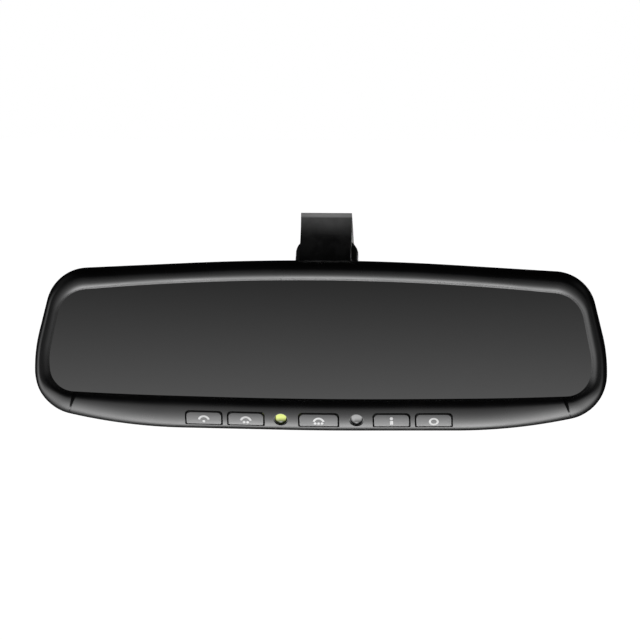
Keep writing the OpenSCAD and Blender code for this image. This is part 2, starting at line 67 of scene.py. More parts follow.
def joint_place(name: str) -> Vector:
    """Gives a joint's pivot in millimetres.

    Args:
        name: The joint's name in the record.

    Returns:
        The pivot in the row frame.
    """
    joint = next(j for j in frame["record"]["behaviour"]["joints"] if j["name"] == name)
    return Vector(joint["pos_m"]) / MM


UPPER_BALL = joint_place("upper_swing")
LOWER_BALL = joint_place("lower_swing")
SOCKET_BACK, SOCKET_UP = 25.0, 3.5
HEAD = LOWER_BALL - Vector((0, SOCKET_BACK, SOCKET_UP))
STAY_LENGTH = (UPPER_BALL - LOWER_BALL).length
BALL_DROP = UPPER_BALL.length
STAY_UP = (UPPER_BALL - LOWER_BALL).to_track_quat("Z", "X").to_matrix().to_4x4()
SEAT_TURN = Matrix.Rotation(-math.asin(-UPPER_BALL.y / BALL_DROP), 4, "X")


def at_head(x: float = 0, y: float = 0, z: float = 0) -> Matrix:
    """Places something in the head's own frame, whose crest is at y = 0."""
    return Matrix.Translation(HEAD + Vector((x, y, z)))


def towards_back(x: float, y: float, z: float) -> Matrix:
    """Places something in the head with its own +Z pointing backwards, along row +Y."""
    return at_head(x, y, z) @ Matrix.Rotation(math.radians(-90), 4, "X")


AT_LOWER_BALL = Matrix.Translation(LOWER_BALL) @ STAY_UP
AT_UPPER_BALL = Matrix.Translation(UPPER_BALL) @ STAY_UP @ Matrix.Rotation(math.pi, 4, "X")
AT_SEAT = SEAT_TURN
AT_CUP = SEAT_TURN @ Matrix.Translation((0, 0, -BALL_DROP))


# ---------------------------------------------------------------- mesh helpers

# Steps in the full turn of a large, a middling and a small round shape.
LARGE_TURN, MIDDLE_TURN, SMALL_TURN = 96, 72, 48


def finish_mesh(bm: bmesh.types.BMesh, name: str, place: Matrix,
                sharp: float = 35) -> bpy.types.Object:
    """Writes a bmesh in millimetres as an object at the origin, in metres.

    Args:
        bm: The mesh, which is freed.
        name: The piece's name.
        place: Where the mesh goes in the row frame, in millimetres.
        sharp: Edges over this angle, in degrees, stay sharp.

    Returns:
        The new object.
    """
    bmesh.ops.transform(bm, matrix=Matrix.Scale(MM, 4) @ place, verts=bm.verts)
    bmesh.ops.remove_doubles(bm, verts=bm.verts, dist=1e-7)
    bmesh.ops.recalc_face_normals(bm, faces=bm.faces)
    mesh = bpy.data.meshes.new(name)
    bm.to_mesh(mesh)
    bm.free()
    piece = bpy.data.objects.new(name, mesh)
    bpy.context.scene.collection.objects.link(piece)
    smooth(piece, sharp)
    return piece


def smooth(piece: bpy.types.Object, sharp: float) -> None:
    """Shades a piece smooth, apart from edges over an angle in degrees.

    Args:
        piece: The piece.
        sharp: Edges over this angle, in degrees, stay sharp.
    """
    piece.data.polygons.foreach_set("use_smooth", [True] * len(piece.data.polygons))
    piece.data.set_sharp_from_angle(angle=math.radians(sharp))
    piece.data.update()


def apply_modifiers(piece: bpy.types.Object, sharp: float = 35) -> None:
    """Replaces a piece's mesh with the result of its modifiers.

    Args:
        piece: The piece, whose modifiers are used up.
        sharp: Edges over this angle, in degrees, stay sharp.
    """
    graph = bpy.context.evaluated_depsgraph_get()
    mesh = bpy.data.meshes.new_from_object(piece.evaluated_get(graph))
    old = piece.data
    piece.modifiers.clear()
    piece.data = mesh
    bpy.data.meshes.remove(old)
    mesh.name = piece.name
    smooth(piece, sharp)


class Cut(Enum):
    """What a tool does to a piece."""

    AWAY = "DIFFERENCE"
    ADD = "UNION"


def combine(piece: bpy.types.Object, tools: Sequence[bpy.types.Object], cut: Cut,
            sharp: float = 35) -> None:
    """Cuts or joins tools into a piece and removes the tools.

    Args:
        piece: The piece that stays.
        tools: The objects that are used up.
        cut: How they act on it.
        sharp: Edges over this angle stay sharp afterwards.
    """
    for tool in tools:
        step = piece.modifiers.new("cut", "BOOLEAN")
        step.operation = cut.value
        step.solver = "EXACT"
        step.object = tool
    apply_modifiers(piece, sharp)
    for tool in tools:
        mesh = tool.data
        bpy.data.objects.remove(tool)
        bpy.data.meshes.remove(mesh)


def soften(piece: bpy.types.Object, width: float, segments: int = 2, angle: float = 40) -> None:
    """Rounds a piece's edges over an angle, by a width in millimetres.

    Args:
        piece: The piece.
        width: The rounding's width in millimetres.
        segments: The rounding's steps.
        angle: Only edges over this angle, in degrees, are rounded.
    """
    step = piece.modifiers.new("round", "BEVEL")
    step.width = width * MM
    step.segments = segments
    step.limit_method = "ANGLE"
    step.angle_limit = math.radians(angle)
    step.harden_normals = False
    step.use_clamp_overlap = True
    apply_modifiers(piece, 50)


def first_ring(bm: bmesh.types.BMesh, points: Sequence[Vector]) -> list[bmesh.types.BMVert]:
    """Starts a mesh with one closed ring of vertices and edges.

    Args:
        bm: The mesh.
        points: The ring's places, in order.

    Returns:
        The ring's vertices, in order.
    """
    ring = [bm.verts.new(p) for p in points]
    for a, b in zip(ring, ring[1:] + ring[:1]):
        bm.edges.new((a, b))
    return ring


def next_ring(
    bm: bmesh.types.BMesh, ring: list[bmesh.types.BMVert], points: Sequence[Vector]
) -> list[bmesh.types.BMVert]:
    """Extrudes a ring and moves the new one to its points.

    Args:
        bm: The mesh.
        ring: The ring to extrude, in order.
        points: The new ring's places, in the same order.

    Returns:
        The new ring's vertices, in order.
    """
    edges = [bm.edges.get((a, b)) for a, b in zip(ring, ring[1:] + ring[:1])]
    made = bmesh.ops.extrude_edge_only(bm, edges=edges)["geom"]
    fresh = {g for g in made if isinstance(g, bmesh.types.BMVert)}
    new = [next(e.other_vert(vert) for e in vert.link_edges if e.other_vert(vert) in fresh)
           for vert in ring]
    for twin, point in zip(new, points):
        twin.co = point
    return new


def loft(rings: Sequence[Sequence[Vector]], closed: bool) -> bmesh.types.BMesh:
    """Makes a skin over rings of equal length.

    Args:
        rings: The rings' points.
        closed: Whether the last ring joins the first.

    Returns:
        The mesh.
    """
    bm = bmesh.new()
    start = first_ring(bm, rings[0])
    ring = start
    for points in rings[1:]:
        ring = next_ring(bm, ring, points)
    if closed:
        next_ring(bm, ring, [v.co.copy() for v in start])
        bmesh.ops.remove_doubles(bm, verts=bm.verts, dist=1e-5)
    return bm


def lathe(name: str, outline: Sequence[tuple[float, float]], place: Matrix, steps: int = 64,
          sharp: float = 35) -> bpy.types.Object:
    """Spins an outline of (radius, height) points about its own Z axis.

    Args:
        name: The piece's name.
        outline: The points, from one end to the other; a closed ring repeats its first point.
        place: Where the axis goes, in millimetres.
        steps: Steps in the full turn.
        sharp: Edges over this angle stay sharp.

    Returns:
        The new object.
    """
    bm = bmesh.new()
    verts = [bm.verts.new((r, 0, z)) for r, z in outline]
    edges = [bm.edges.new(pair) for pair in zip(verts, verts[1:])]
    bmesh.ops.spin(bm, geom=verts + edges, cent=(0, 0, 0), axis=(0, 0, 1), angle=math.tau,
                   steps=steps, use_merge=True)
    bmesh.ops.remove_doubles(bm, verts=bm.verts, dist=1e-4)
    return finish_mesh(bm, name, place, sharp)


def extrusion(name: str, outline: Sequence[tuple[float, float]], depth: float, place: Matrix,
              sharp: float = 35) -> bpy.types.Object:
    """Extrudes a closed outline of (x, y) points by a depth along its own +Z.

    Args:
        name: The piece's name.
        outline: The outline's points, in order.
        depth: How far it is extruded.
        place: Where it goes in the row frame, in millimetres.
        sharp: Edges over this angle, in degrees, stay sharp.

    Returns:
        The new object.
    """
    bm = bmesh.new()
    face = bm.faces.new([bm.verts.new((x, y, 0)) for x, y in outline])
    made = bmesh.ops.extrude_face_region(bm, geom=[face])["geom"]
    moved = [g for g in made if isinstance(g, bmesh.types.BMVert)]
    bmesh.ops.translate(bm, verts=moved, vec=(0, 0, depth))
    return finish_mesh(bm, name, place, sharp)


def block(name: str, low: Vector, high: Vector, place: Matrix) -> bpy.types.Object:
    """Makes a box between two corners, in millimetres.

    Args:
        name: The piece's name.
        low: The corner with the lowest numbers.
        high: The opposite corner.
        place: Where it goes in the row frame, in millimetres.

    Returns:
        The new object.
    """
    bm = bmesh.new()
    size = high - low
    bmesh.ops.create_cube(bm, size=1)
    bmesh.ops.scale(bm, vec=size, verts=bm.verts)
    bmesh.ops.translate(bm, vec=(low + high) / 2, verts=bm.verts)
    return finish_mesh(bm, name, place)


def rod(name: str, radius: float, low: float, high: float, place: Matrix, steps: int = 64,
        top_radius: Optional[float] = None) -> bpy.types.Object:
    """Makes a cylinder or a cone between two heights on its own Z axis.

    Args:
        name: The piece's name.
        radius: The radius at the lower end.
        low: The lower end's height.
        high: The upper end's height.
        place: Where it goes in the row frame, in millimetres.
        steps: Steps in the full turn.
        top_radius: The radius at the upper end, if it differs.

    Returns:
        The new object.
    """
    bm = bmesh.new()
    end = radius if top_radius is None else top_radius
    bmesh.ops.create_cone(bm, cap_ends=True, cap_tris=False, segments=steps, radius1=radius,
                          radius2=end, depth=high - low)
    bmesh.ops.translate(bm, vec=(0, 0, (low + high) / 2), verts=bm.verts)
    return finish_mesh(bm, name, place)


def ball(name: str, radius: float, place: Matrix) -> bpy.types.Object:
    """Makes a fine sphere about a place.

    Args:
        name: The piece's name.
        radius: The sphere's radius.
        place: Where its middle goes.

    Returns:
        The new object.
    """
    bm = bmesh.new()
    bmesh.ops.create_uvsphere(bm, u_segments=64, v_segments=40, radius=radius)
    return finish_mesh(bm, name, place)


def cad_copy(node: str, sharp: float = 35) -> bpy.types.Object:
    """Copies a CAD node's mesh with its loose triangles joined and flat faces made whole.

    Args:
        node: The CAD node's name.
        sharp: Edges over this angle, in degrees, stay sharp.

    Returns:
        The copy.
    """
    bm = bmesh.new()
    bm.from_mesh(frame["nodes"][node].data)
    bmesh.ops.remove_doubles(bm, verts=bm.verts, dist=2e-6)
    bmesh.ops.dissolve_limit(bm, angle_limit=math.radians(0.6), verts=bm.verts, edges=bm.edges)
    mesh = bpy.data.meshes.new(node + "_piece")
    bm.to_mesh(mesh)
    bm.free()
    piece = bpy.data.objects.new(node + "_piece", mesh)
    bpy.context.scene.collection.objects.link(piece)
    smooth(piece, sharp)
    return piece


def settle(piece: bpy.types.Object, body: str, slot: str, material: bpy.types.Material,
           stands_for: Sequence[str] = ()) -> None:
    """Dresses a piece and ties it to its body.

    Args:
        piece: The piece.
        body: The CAD body that it rides on.
        slot: The record's material slot; not used.
        material: Its finish.
        stands_for: The CAD nodes that it replaces.
    """
    piece.data.materials.clear()
    piece.data.materials.append(material)
    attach(piece, body)
    if stands_for:
        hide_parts(*stands_for)
    LOG.info("%s rides on %s", piece.name, body)


# ---------------------------------------------------------------- node helpers


class Wiring:
    """Adds nodes to one tree and joins their sockets."""

    def __init__(self, tree: bpy.types.NodeTree) -> None:
        """Starts on a tree."""
        self.tree = tree

    def node(self, kind: str, inputs: Optional[dict] = None, **settings: object) -> bpy.types.Node:
        """Adds a node.

        Args:
            kind: The node's type name, without its ShaderNode prefix.
            inputs: Values or sockets for its inputs, by name or number.
            settings: Values for the node's own properties.

        Returns:
            The node.
        """
        made = self.tree.nodes.new("ShaderNode" + kind)
        for key, value in settings.items():
            setattr(made, key, value)
        for key, value in (inputs or {}).items():
            self.give(made.inputs[key], value)
        return made

    def give(self, socket: bpy.types.NodeSocket, value: object) -> None:
        """Links a socket to another, or sets its value.

        Args:
            socket: The input.
            value: A socket to link to it, or its value.
        """
        if isinstance(value, bpy.types.NodeSocket):
            self.tree.links.new(value, socket)
        else:
            socket.default_value = value

    def sum(self, operation: str, a: object, b: object = 0.0, clamp: bool = False) -> bpy.types.NodeSocket:
        """Adds a Math node and gives its output."""
        made = self.node("Math", {0: a, 1: b}, operation=operation, use_clamp=clamp)
        return made.outputs[0]

    def spread(self, value: object, low: float, high: float, to_low: float = 0.0,
               to_high: float = 1.0) -> bpy.types.NodeSocket:
        """Maps a value smoothly from one range to another.

        Args:
            value: What is mapped.
            low: The first range's start.
            high: The first range's end.
            to_low: The second range's start.
            to_high: The second range's end.

        Returns:
            The mapped value's socket.
        """
        made = self.node("MapRange", {0: value, 1: low, 2: high, 3: to_low, 4: to_high},
                         interpolation_type="SMOOTHSTEP")
        return made.outputs[0]

    def blend(self, share: object, a: object, b: object) -> bpy.types.NodeSocket:
        """Mixes two colours and gives the result."""
        made = self.node("Mix", {0: share, 6: a, 7: b}, data_type="RGBA")
        return made.outputs[2]


def new_group(name: str, inputs: dict[str, float], outputs: dict[str, str]) -> bpy.types.NodeTree:
    """Starts a shader node group.

    Args:
        name: The group's name.
        inputs: Its float inputs and their default values.
        outputs: Its outputs and their socket types.

    Returns:
        The group, with its input and output nodes in place.
    """
    group = bpy.data.node_groups.new(name, "ShaderNodeTree")
    for key, value in inputs.items():
        socket = group.interface.new_socket(key, in_out="INPUT", socket_type="NodeSocketFloat")
        socket.default_value = value
    for key, kind in outputs.items():
        group.interface.new_socket(key, in_out="OUTPUT", socket_type=kind)
    group.nodes.new("NodeGroupInput")
    group.nodes.new("NodeGroupOutput")
    return group


def group_ends(group: bpy.types.NodeTree) -> tuple[bpy.types.Node, bpy.types.Node]:
    """Gives a group's input and output nodes."""
    ends = {n.bl_idname: n for n in group.nodes}
    return ends["NodeGroupInput"], ends["NodeGroupOutput"]


def moulded_grain() -> bpy.types.NodeTree:
    """Builds the group for a moulded or coated skin: fine grain, slow shine changes and worn edges.

    Returns:
        A group with outputs Height, Shine and Worn.
    """
    group = new_group("moulded_grain", {"Grain Size": 1900.0, "Grain Depth": 1.0, "Wear": 0.5},
                      {"Height": "NodeSocketFloat", "Shine": "NodeSocketFloat", "Worn": "NodeSocketFloat"})
    w = Wiring(group)
    into, out = group_ends(group)
    place = w.node("TexCoord").outputs["Object"]
    fine = w.node("TexNoise", {"Vector": place, "Scale": into.outputs["Grain Size"], "Detail": 2.0})
    pits = w.node("TexVoronoi", {"Vector": place, "Scale": into.outputs["Grain Size"]},
                  feature="SMOOTH_F1")
    grain = w.sum("ADD", fine.outputs["Fac"], w.sum("MULTIPLY", pits.outputs["Distance"], 0.6))
    w.give(out.inputs["Height"], w.sum("MULTIPLY", grain, into.outputs["Grain Depth"]))
    slow = w.node("TexNoise", {"Vector": place, "Scale": 34.0, "Detail": 4.0, "Roughness": 0.6})
    w.give(out.inputs["Shine"], w.spread(slow.outputs["Fac"], 0.3, 0.7, -0.5, 0.5))
    edge = w.spread(w.node("NewGeometry").outputs["Pointiness"], 0.515, 0.6)
    patch = w.node("TexNoise", {"Vector": place, "Scale": 160.0, "Detail": 5.0})
    broken = w.spread(patch.outputs["Fac"], 0.42, 0.62)
    w.give(out.inputs["Worn"], w.sum("MULTIPLY", w.sum("MULTIPLY", edge, broken), into.outputs["Wear"]))
    return group


def settled_dust() -> bpy.types.NodeTree:
    """Builds the group for a thin film of dust on faces that look up.

    Returns:
        A group with the output Dust.
    """
    group = new_group("settled_dust", {"Amount": 0.1}, {"Dust": "NodeSocketFloat"})
    w = Wiring(group)
    into, out = group_ends(group)
    up = w.node("SeparateXYZ", {0: w.node("NewGeometry").outputs["Normal"]}).outputs["Z"]
    flat = w.spread(up, 0.45, 0.95)
    place = w.node("TexCoord").outputs["Object"]
    specks = w.node("TexNoise", {"Vector": place, "Scale": 900.0, "Detail": 3.0})
    clouds = w.node("TexNoise", {"Vector": place, "Scale": 60.0, "Detail": 3.0})
    film = w.sum("MULTIPLY", w.spread(specks.outputs["Fac"], 0.45, 0.7),
                 w.spread(clouds.outputs["Fac"], 0.35, 0.65))
    w.give(out.inputs["Dust"], w.sum("MULTIPLY", w.sum("MULTIPLY", flat, film), into.outputs["Amount"]))
    return group


def drawn_lines() -> bpy.types.NodeTree:
    """Builds the group for the fine lines of drawn or turned metal along the row's X axis.

    Returns:
        A group with outputs Height and Tone.
    """
    group = new_group("drawn_lines", {"Line Size": 2600.0},
                      {"Height": "NodeSocketFloat", "Tone": "NodeSocketFloat"})
    w = Wiring(group)
    into, out = group_ends(group)
    place = w.node("TexCoord").outputs["Object"]
    long = w.node("Mapping", {"Vector": place, "Scale": (0.04, 1.0, 1.0)}).outputs[0]
    lines = w.node("TexNoise", {"Vector": long, "Scale": into.outputs["Line Size"], "Detail": 3.0})
    stain = w.node("TexNoise", {"Vector": place, "Scale": 120.0, "Detail": 4.0})
    w.give(out.inputs["Height"], lines.outputs["Fac"])
    w.give(out.inputs["Tone"], w.spread(w.sum("ADD", lines.outputs["Fac"], stain.outputs["Fac"]), 0.7, 1.3))
    return group


GROUPS: dict[str, bpy.types.NodeTree] = {}


def use_group(w: Wiring, maker: Callable[[], bpy.types.NodeTree], values: dict) -> bpy.types.Node:
    """Places a shared group in a material, building it the first time.

    Args:
        w: The material's wiring.
        maker: The function that builds the group.
        values: Values or sockets for the group's inputs.

    Returns:
        The group's node in the material.
    """
    if maker.__name__ not in GROUPS:
        GROUPS[maker.__name__] = maker()
    made = w.node("Group", node_tree=GROUPS[maker.__name__])
    for key, value in values.items():
        w.give(made.inputs[key], value)
    return made


def new_material(name: str) -> tuple[bpy.types.Material, Wiring, bpy.types.Node]:
    """Starts a material with only its output and a Principled shader.

    Args:
        name: The material's name.

    Returns:
        The material, its wiring and its shader.
    """
    material = bpy.data.materials.new(name)
    material.use_nodes = True
    material.node_tree.nodes.clear()
    w = Wiring(material.node_tree)
    shader = w.node("BsdfPrincipled")
    w.node("OutputMaterial", {"Surface": shader.outputs["BSDF"]})
    return material, w, shader


Colour = tuple[float, float, float]
DUST: Colour = (0.42, 0.4, 0.37)
WHITE = (1.0, 1.0, 1.0, 1.0)


def rgba(colour: Colour) -> tuple[float, float, float, float]:
    """Adds full opacity to a colour."""
    return (*colour, 1.0)


@dataclass(frozen=True)
class MouldedPlastic:
    """A moulded plastic: dark or light, with grain, uneven shine, worn edges and dust."""

    name: str
    colour: Colour
    roughness: float
    specular: float = 0.5
    grain_size: float = 1900.0
    grain_depth: float = 1.0
    bump: float = 0.12
    wear: float = 0.3
    dust: float = 0.05
    coat: float = 0.0

    def build(self) -> bpy.types.Material:
        """Builds the material.

        Returns:
            The material.
        """
        material, w, shader = new_material(self.name)
        skin = use_group(w, moulded_grain, {"Grain Size": self.grain_size,
                                            "Grain Depth": self.grain_depth, "Wear": self.wear})
        dust = use_group(w, settled_dust, {"Amount": self.dust}).outputs["Dust"]
        lighter = tuple(min(1.0, c * 1.5 + 0.012) for c in self.colour)
        worn = w.blend(skin.outputs["Worn"], rgba(self.colour), rgba(lighter))
        w.give(shader.inputs["Base Color"], w.blend(dust, worn, rgba(DUST)))
        rough = w.sum("ADD", w.sum("MULTIPLY", skin.outputs["Shine"], 0.09), self.roughness)
        rough = w.sum("SUBTRACT", rough, w.sum("MULTIPLY", skin.outputs["Worn"], 0.1))
        w.give(shader.inputs["Roughness"], w.sum("ADD", rough, w.sum("MULTIPLY", dust, 0.4), clamp=True))
        shader.inputs["Specular IOR Level"].default_value = self.specular
        shader.inputs["Coat Weight"].default_value = self.coat
        shader.inputs["Coat Roughness"].default_value = 0.2
        bump = w.node("Bump", {"Strength": self.bump, "Distance": 0.0001, "Height": skin.outputs["Height"]})
        w.give(shader.inputs["Normal"], bump.outputs[0])
        return material


@dataclass(frozen=True)
class PaintWithPaintedLight(MouldedPlastic):
    """A painted skin with painted light over it: painted lighter towards its upper end and darker below,
    standing in for the head's shadow, with a painted highlight along its top edge.
    """

    painted_lit_top: Colour = (0.1, 0.1, 0.1)
    painted_edge_highlight: Colour = (0.2, 0.2, 0.2)
    low_z: float = 0.0
    high_z: float = 10.0
    edge_z: float = 10.0

    def build(self) -> bpy.types.Material:
        """Builds the material from the plain skin and lays the painted light, lighter towards the top, and
        the painted top-edge highlight over its colour.

        Returns:
            The material.
        """
        material = super().build()
        w = Wiring(material.node_tree)
        shader = next(n for n in material.node_tree.nodes if n.type == "BSDF_PRINCIPLED")
        colour = shader.inputs["Base Color"].links[0].from_socket
        place = w.node("TexCoord").outputs["Object"]
        height = w.node("SeparateXYZ", {0: place}).outputs["Z"]
        # Painted light and shade: the colour is lightened from low_z up to high_z, standing in for the lit
        # top of the bracket and the head's shadow below it.
        share = w.spread(height, self.low_z * MM, self.high_z * MM)
        cloud = w.node("TexNoise", {"Vector": place, "Scale": 260.0, "Detail": 4.0}).outputs["Fac"]
        share = w.sum("MULTIPLY", share, w.spread(cloud, 0.2, 0.8, 0.85, 1.15))
        pale = w.blend(share, colour, rgba(self.painted_lit_top))
        # Painted highlight: a light band from just under edge_z upwards along the bracket's top edge.
        rim = w.spread(height, (self.edge_z - 0.7) * MM, (self.edge_z + 0.3) * MM)
        w.give(shader.inputs["Base Color"], w.blend(rim, pale, rgba(self.painted_edge_highlight)))
        return material


@dataclass(frozen=True)
class Metal:
    """A bare metal with drawn lines and faint stains."""

    name: str
    colour: Colour
    roughness: float
    line_size: float = 2600.0

    def build(self) -> bpy.types.Material:
        """Builds the material.

        Returns:
            The material.
        """
        material, w, shader = new_material(self.name)
        lines = use_group(w, drawn_lines, {"Line Size": self.line_size})
        dull = tuple(c * 0.72 for c in self.colour)
        w.give(shader.inputs["Base Color"], w.blend(lines.outputs["Tone"], rgba(dull), rgba(self.colour)))
        shader.inputs["Metallic"].default_value = 1.0
        w.give(shader.inputs["Roughness"], w.spread(lines.outputs["Tone"], 0.0, 1.0, self.roughness + 0.12,
                                                    self.roughness - 0.05))
        bump = w.node("Bump", {"Strength": 0.15, "Distance": 0.00005, "Height": lines.outputs["Height"]})
        w.give(shader.inputs["Normal"], bump.outputs[0])
        return material


@dataclass(frozen=True)
class DimmingGlass:
    """The mirror's glass: polished, neutral and dark, with a painted reflection in its colour, darker towards
    its top and lighter towards its foot.
    """

    name: str
    top_tone: float
    bottom_tone: float
    top_z: float
    bottom_z: float

    def build(self) -> bpy.types.Material:
        """Builds the material.

        Returns:
            The material.
        """
        material, w, shader = new_material(self.name)
        place = w.node("TexCoord").outputs["Object"]
        height = w.node("SeparateXYZ", {0: place}).outputs["Z"]
        # Painted reflection: the glass's colour runs from bottom_tone at its foot to top_tone at its top.
        share = w.node("MapRange", {0: height, 1: self.bottom_z * MM, 2: self.top_z * MM}).outputs[0]
        film = w.node("TexNoise", {"Vector": place, "Scale": 9.0, "Detail": 3.0})
        share = w.sum("ADD", share, w.sum("MULTIPLY", w.sum("SUBTRACT", film.outputs["Fac"], 0.5), 0.05))
        w.give(shader.inputs["Base Color"], w.blend(share, rgba((self.bottom_tone,) * 3),
                                                    rgba((self.top_tone,) * 3)))
        shader.inputs["Metallic"].default_value = 1.0
        smear = w.node("TexNoise", {"Vector": place, "Scale": 45.0, "Detail": 5.0, "Distortion": 0.8})
        w.give(shader.inputs["Roughness"], w.spread(smear.outputs["Fac"], 0.45, 0.75, 0.035, 0.075))
        return material


@dataclass(frozen=True)
class Lens:
    """A small tinted lens with painted light and shade: bright at its top and dark at its foot, and a glow
    that follows the same painted gradient.
    """

    name: str
    top: Colour
    foot: Colour
    glow_and_painted_light: float
    top_z: float
    foot_z: float

    def build(self) -> bpy.types.Material:
        """Builds the material.

        Returns:
            The material.
        """
        material, w, shader = new_material(self.name)
        place = w.node("TexCoord").outputs["Object"]
        height = w.node("SeparateXYZ", {0: place}).outputs["Z"]
        swirl = w.node("TexNoise", {"Vector": place, "Scale": 700.0, "Detail": 2.0}).outputs["Fac"]
        # Painted light and shade: the lens is painted bright towards top_z and dark towards foot_z.
        share = w.spread(height, self.foot_z * MM, self.top_z * MM)
        tint_and_painted_light = w.blend(share, rgba(self.foot), rgba(self.top))
        w.give(shader.inputs["Base Color"], w.blend(0.7, tint_and_painted_light, (0.0, 0.0, 0.0, 1.0)))
        # The glow takes the painted gradient: on the LED lens it also stands for the lit indicator, on the
        # sensor lens it is painted light only.
        w.give(shader.inputs["Emission Color"], tint_and_painted_light)
        shader.inputs["Emission Strength"].default_value = self.glow_and_painted_light
        w.give(shader.inputs["Roughness"], w.spread(swirl, 0.3, 0.7, 0.08, 0.16))
        shader.inputs["Coat Weight"].default_value = 0.3
        shader.inputs["Coat Roughness"].default_value = 0.12
        return material


@dataclass(frozen=True)
class BoardMask:
    """A circuit board: green solder mask with a faint weave and copper runs showing through."""

    name: str

    def build(self) -> bpy.types.Material:
        """Builds the material.

        Returns:
            The material.
        """
        material, w, shader = new_material(self.name)
        place = w.node("TexCoord").outputs["Object"]
        runs = w.node("TexBrick", {"Vector": w.node("Mapping", {"Vector": place, "Rotation": (
            math.radians(90), 0.0, 0.0)}).outputs[0], "Scale": 210.0, "Mortar Size": 0.035}).outputs["Fac"]
        grain = use_group(w, moulded_grain, {"Grain Size": 2400.0, "Grain Depth": 0.5, "Wear": 0.0})
        w.give(shader.inputs["Base Color"],
               w.blend(runs, rgba((0.012, 0.1, 0.045)), rgba((0.03, 0.2, 0.09))))
        w.give(shader.inputs["Roughness"],
               w.sum("ADD", w.sum("MULTIPLY", grain.outputs["Shine"], 0.08), 0.32))
        bump = w.node("Bump", {"Strength": 0.2, "Distance": 0.00005, "Height": runs})
        w.give(shader.inputs["Normal"], bump.outputs[0])
        return material


@dataclass(frozen=True)
class Foam:
    """An open-cell foam sheet."""

    name: str
    colour: Colour

    def build(self) -> bpy.types.Material:
        """Builds the material.

        Returns:
            The material.
        """
        material, w, shader = new_material(self.name)
        place = w.node("TexCoord").outputs["Object"]
        cells = w.node("TexVoronoi", {"Vector": place, "Scale": 1400.0}).outputs["Distance"]
        # Painted shade: the pores are painted darker than the cell walls.
        deep = tuple(c * 0.4 for c in self.colour)
        w.give(shader.inputs["Base Color"], w.blend(w.spread(cells, 0.1, 0.6), rgba(deep), rgba(self.colour)))
        w.give(shader.inputs["Roughness"], w.spread(cells, 0.0, 0.7, 0.98, 0.85))
        bump = w.node("Bump", {"Strength": 0.6, "Distance": 0.0003, "Height": cells})
        w.give(shader.inputs["Normal"], bump.outputs[0])
        return material


# ---------------------------------------------------------------- the head's outlines


@dataclass(frozen=True)
class Corner:
    """A rounded corner of an outline: its vertex, radius and steps, in millimetres."""

    x: float
    z: float
    radius: float
    steps: int

    def mirrored(self) -> "Corner":
        """Gives the same corner on the left side."""
        return Corner(-self.x, self.z, self.radius, self.steps)


def corner_arc(before: Corner, at: Corner, after: Corner, fineness: int) -> list[Vector]:
    """Gives the arc that rounds one corner.

    Args:
        before: The corner before it.
        at: The corner itself.
        after: The corner after it.
        fineness: How many times its own steps the arc gets.

    Returns:
        The arc's points as (x, z).
    """
    vertex = Vector((at.x, at.z))
    u = (Vector((before.x, before.z)) - vertex).normalized()
    v = (Vector((after.x, after.z)) - vertex).normalized()
    half = math.acos(max(-1.0, min(1.0, u.dot(v)))) / 2
    middle = vertex + (u + v).normalized() * (at.radius / math.sin(half))
    p = vertex + u * (at.radius / math.tan(half)) - middle
    q = vertex + v * (at.radius / math.tan(half)) - middle
    turn, count = math.pi - 2 * half, at.steps * fineness
    return [middle + (p * math.sin(turn * (1 - k / count)) + q * math.sin(turn * k / count)) / math.sin(turn)
            for k in range(count + 1)]


def whole_ring(half: Sequence[Corner]) -> list[Corner]:
    """Gives all ten corners from those of the right half, from the right side over the top."""
    left = [c.mirrored() for c in half]
    return [half[2], half[1], half[0], *left[1:5], half[5], half[4], half[3]]


def rounded_loop(half: Sequence[Corner], fineness: int, pieces: Sequence[int]) -> list[Vector]:
    """Gives a whole outline from the corners of its right half.

    Args:
        half: Its corners from the top to the bottom.
        fineness: Steps for each of the corners' own steps.
        pieces: How many pieces each straight run has, so that two outlines' points pair up.

    Returns:
        Points as (x, z), from the middle of the right side over the top.
    """
    ring = whole_ring(half)
    arcs = [corner_arc(ring[i - 1], c, ring[(i + 1) % len(ring)], fineness) for i, c in enumerate(ring)]
    points: list[Vector] = []
    for arc, following, count in zip(arcs, arcs[1:] + arcs[:1], pieces):
        points += arc
        points += [arc[-1].lerp(following[0], k / count) for k in range(1, count)]
    start = half[2].steps * fineness // 2
    return points[start:] + points[:start]


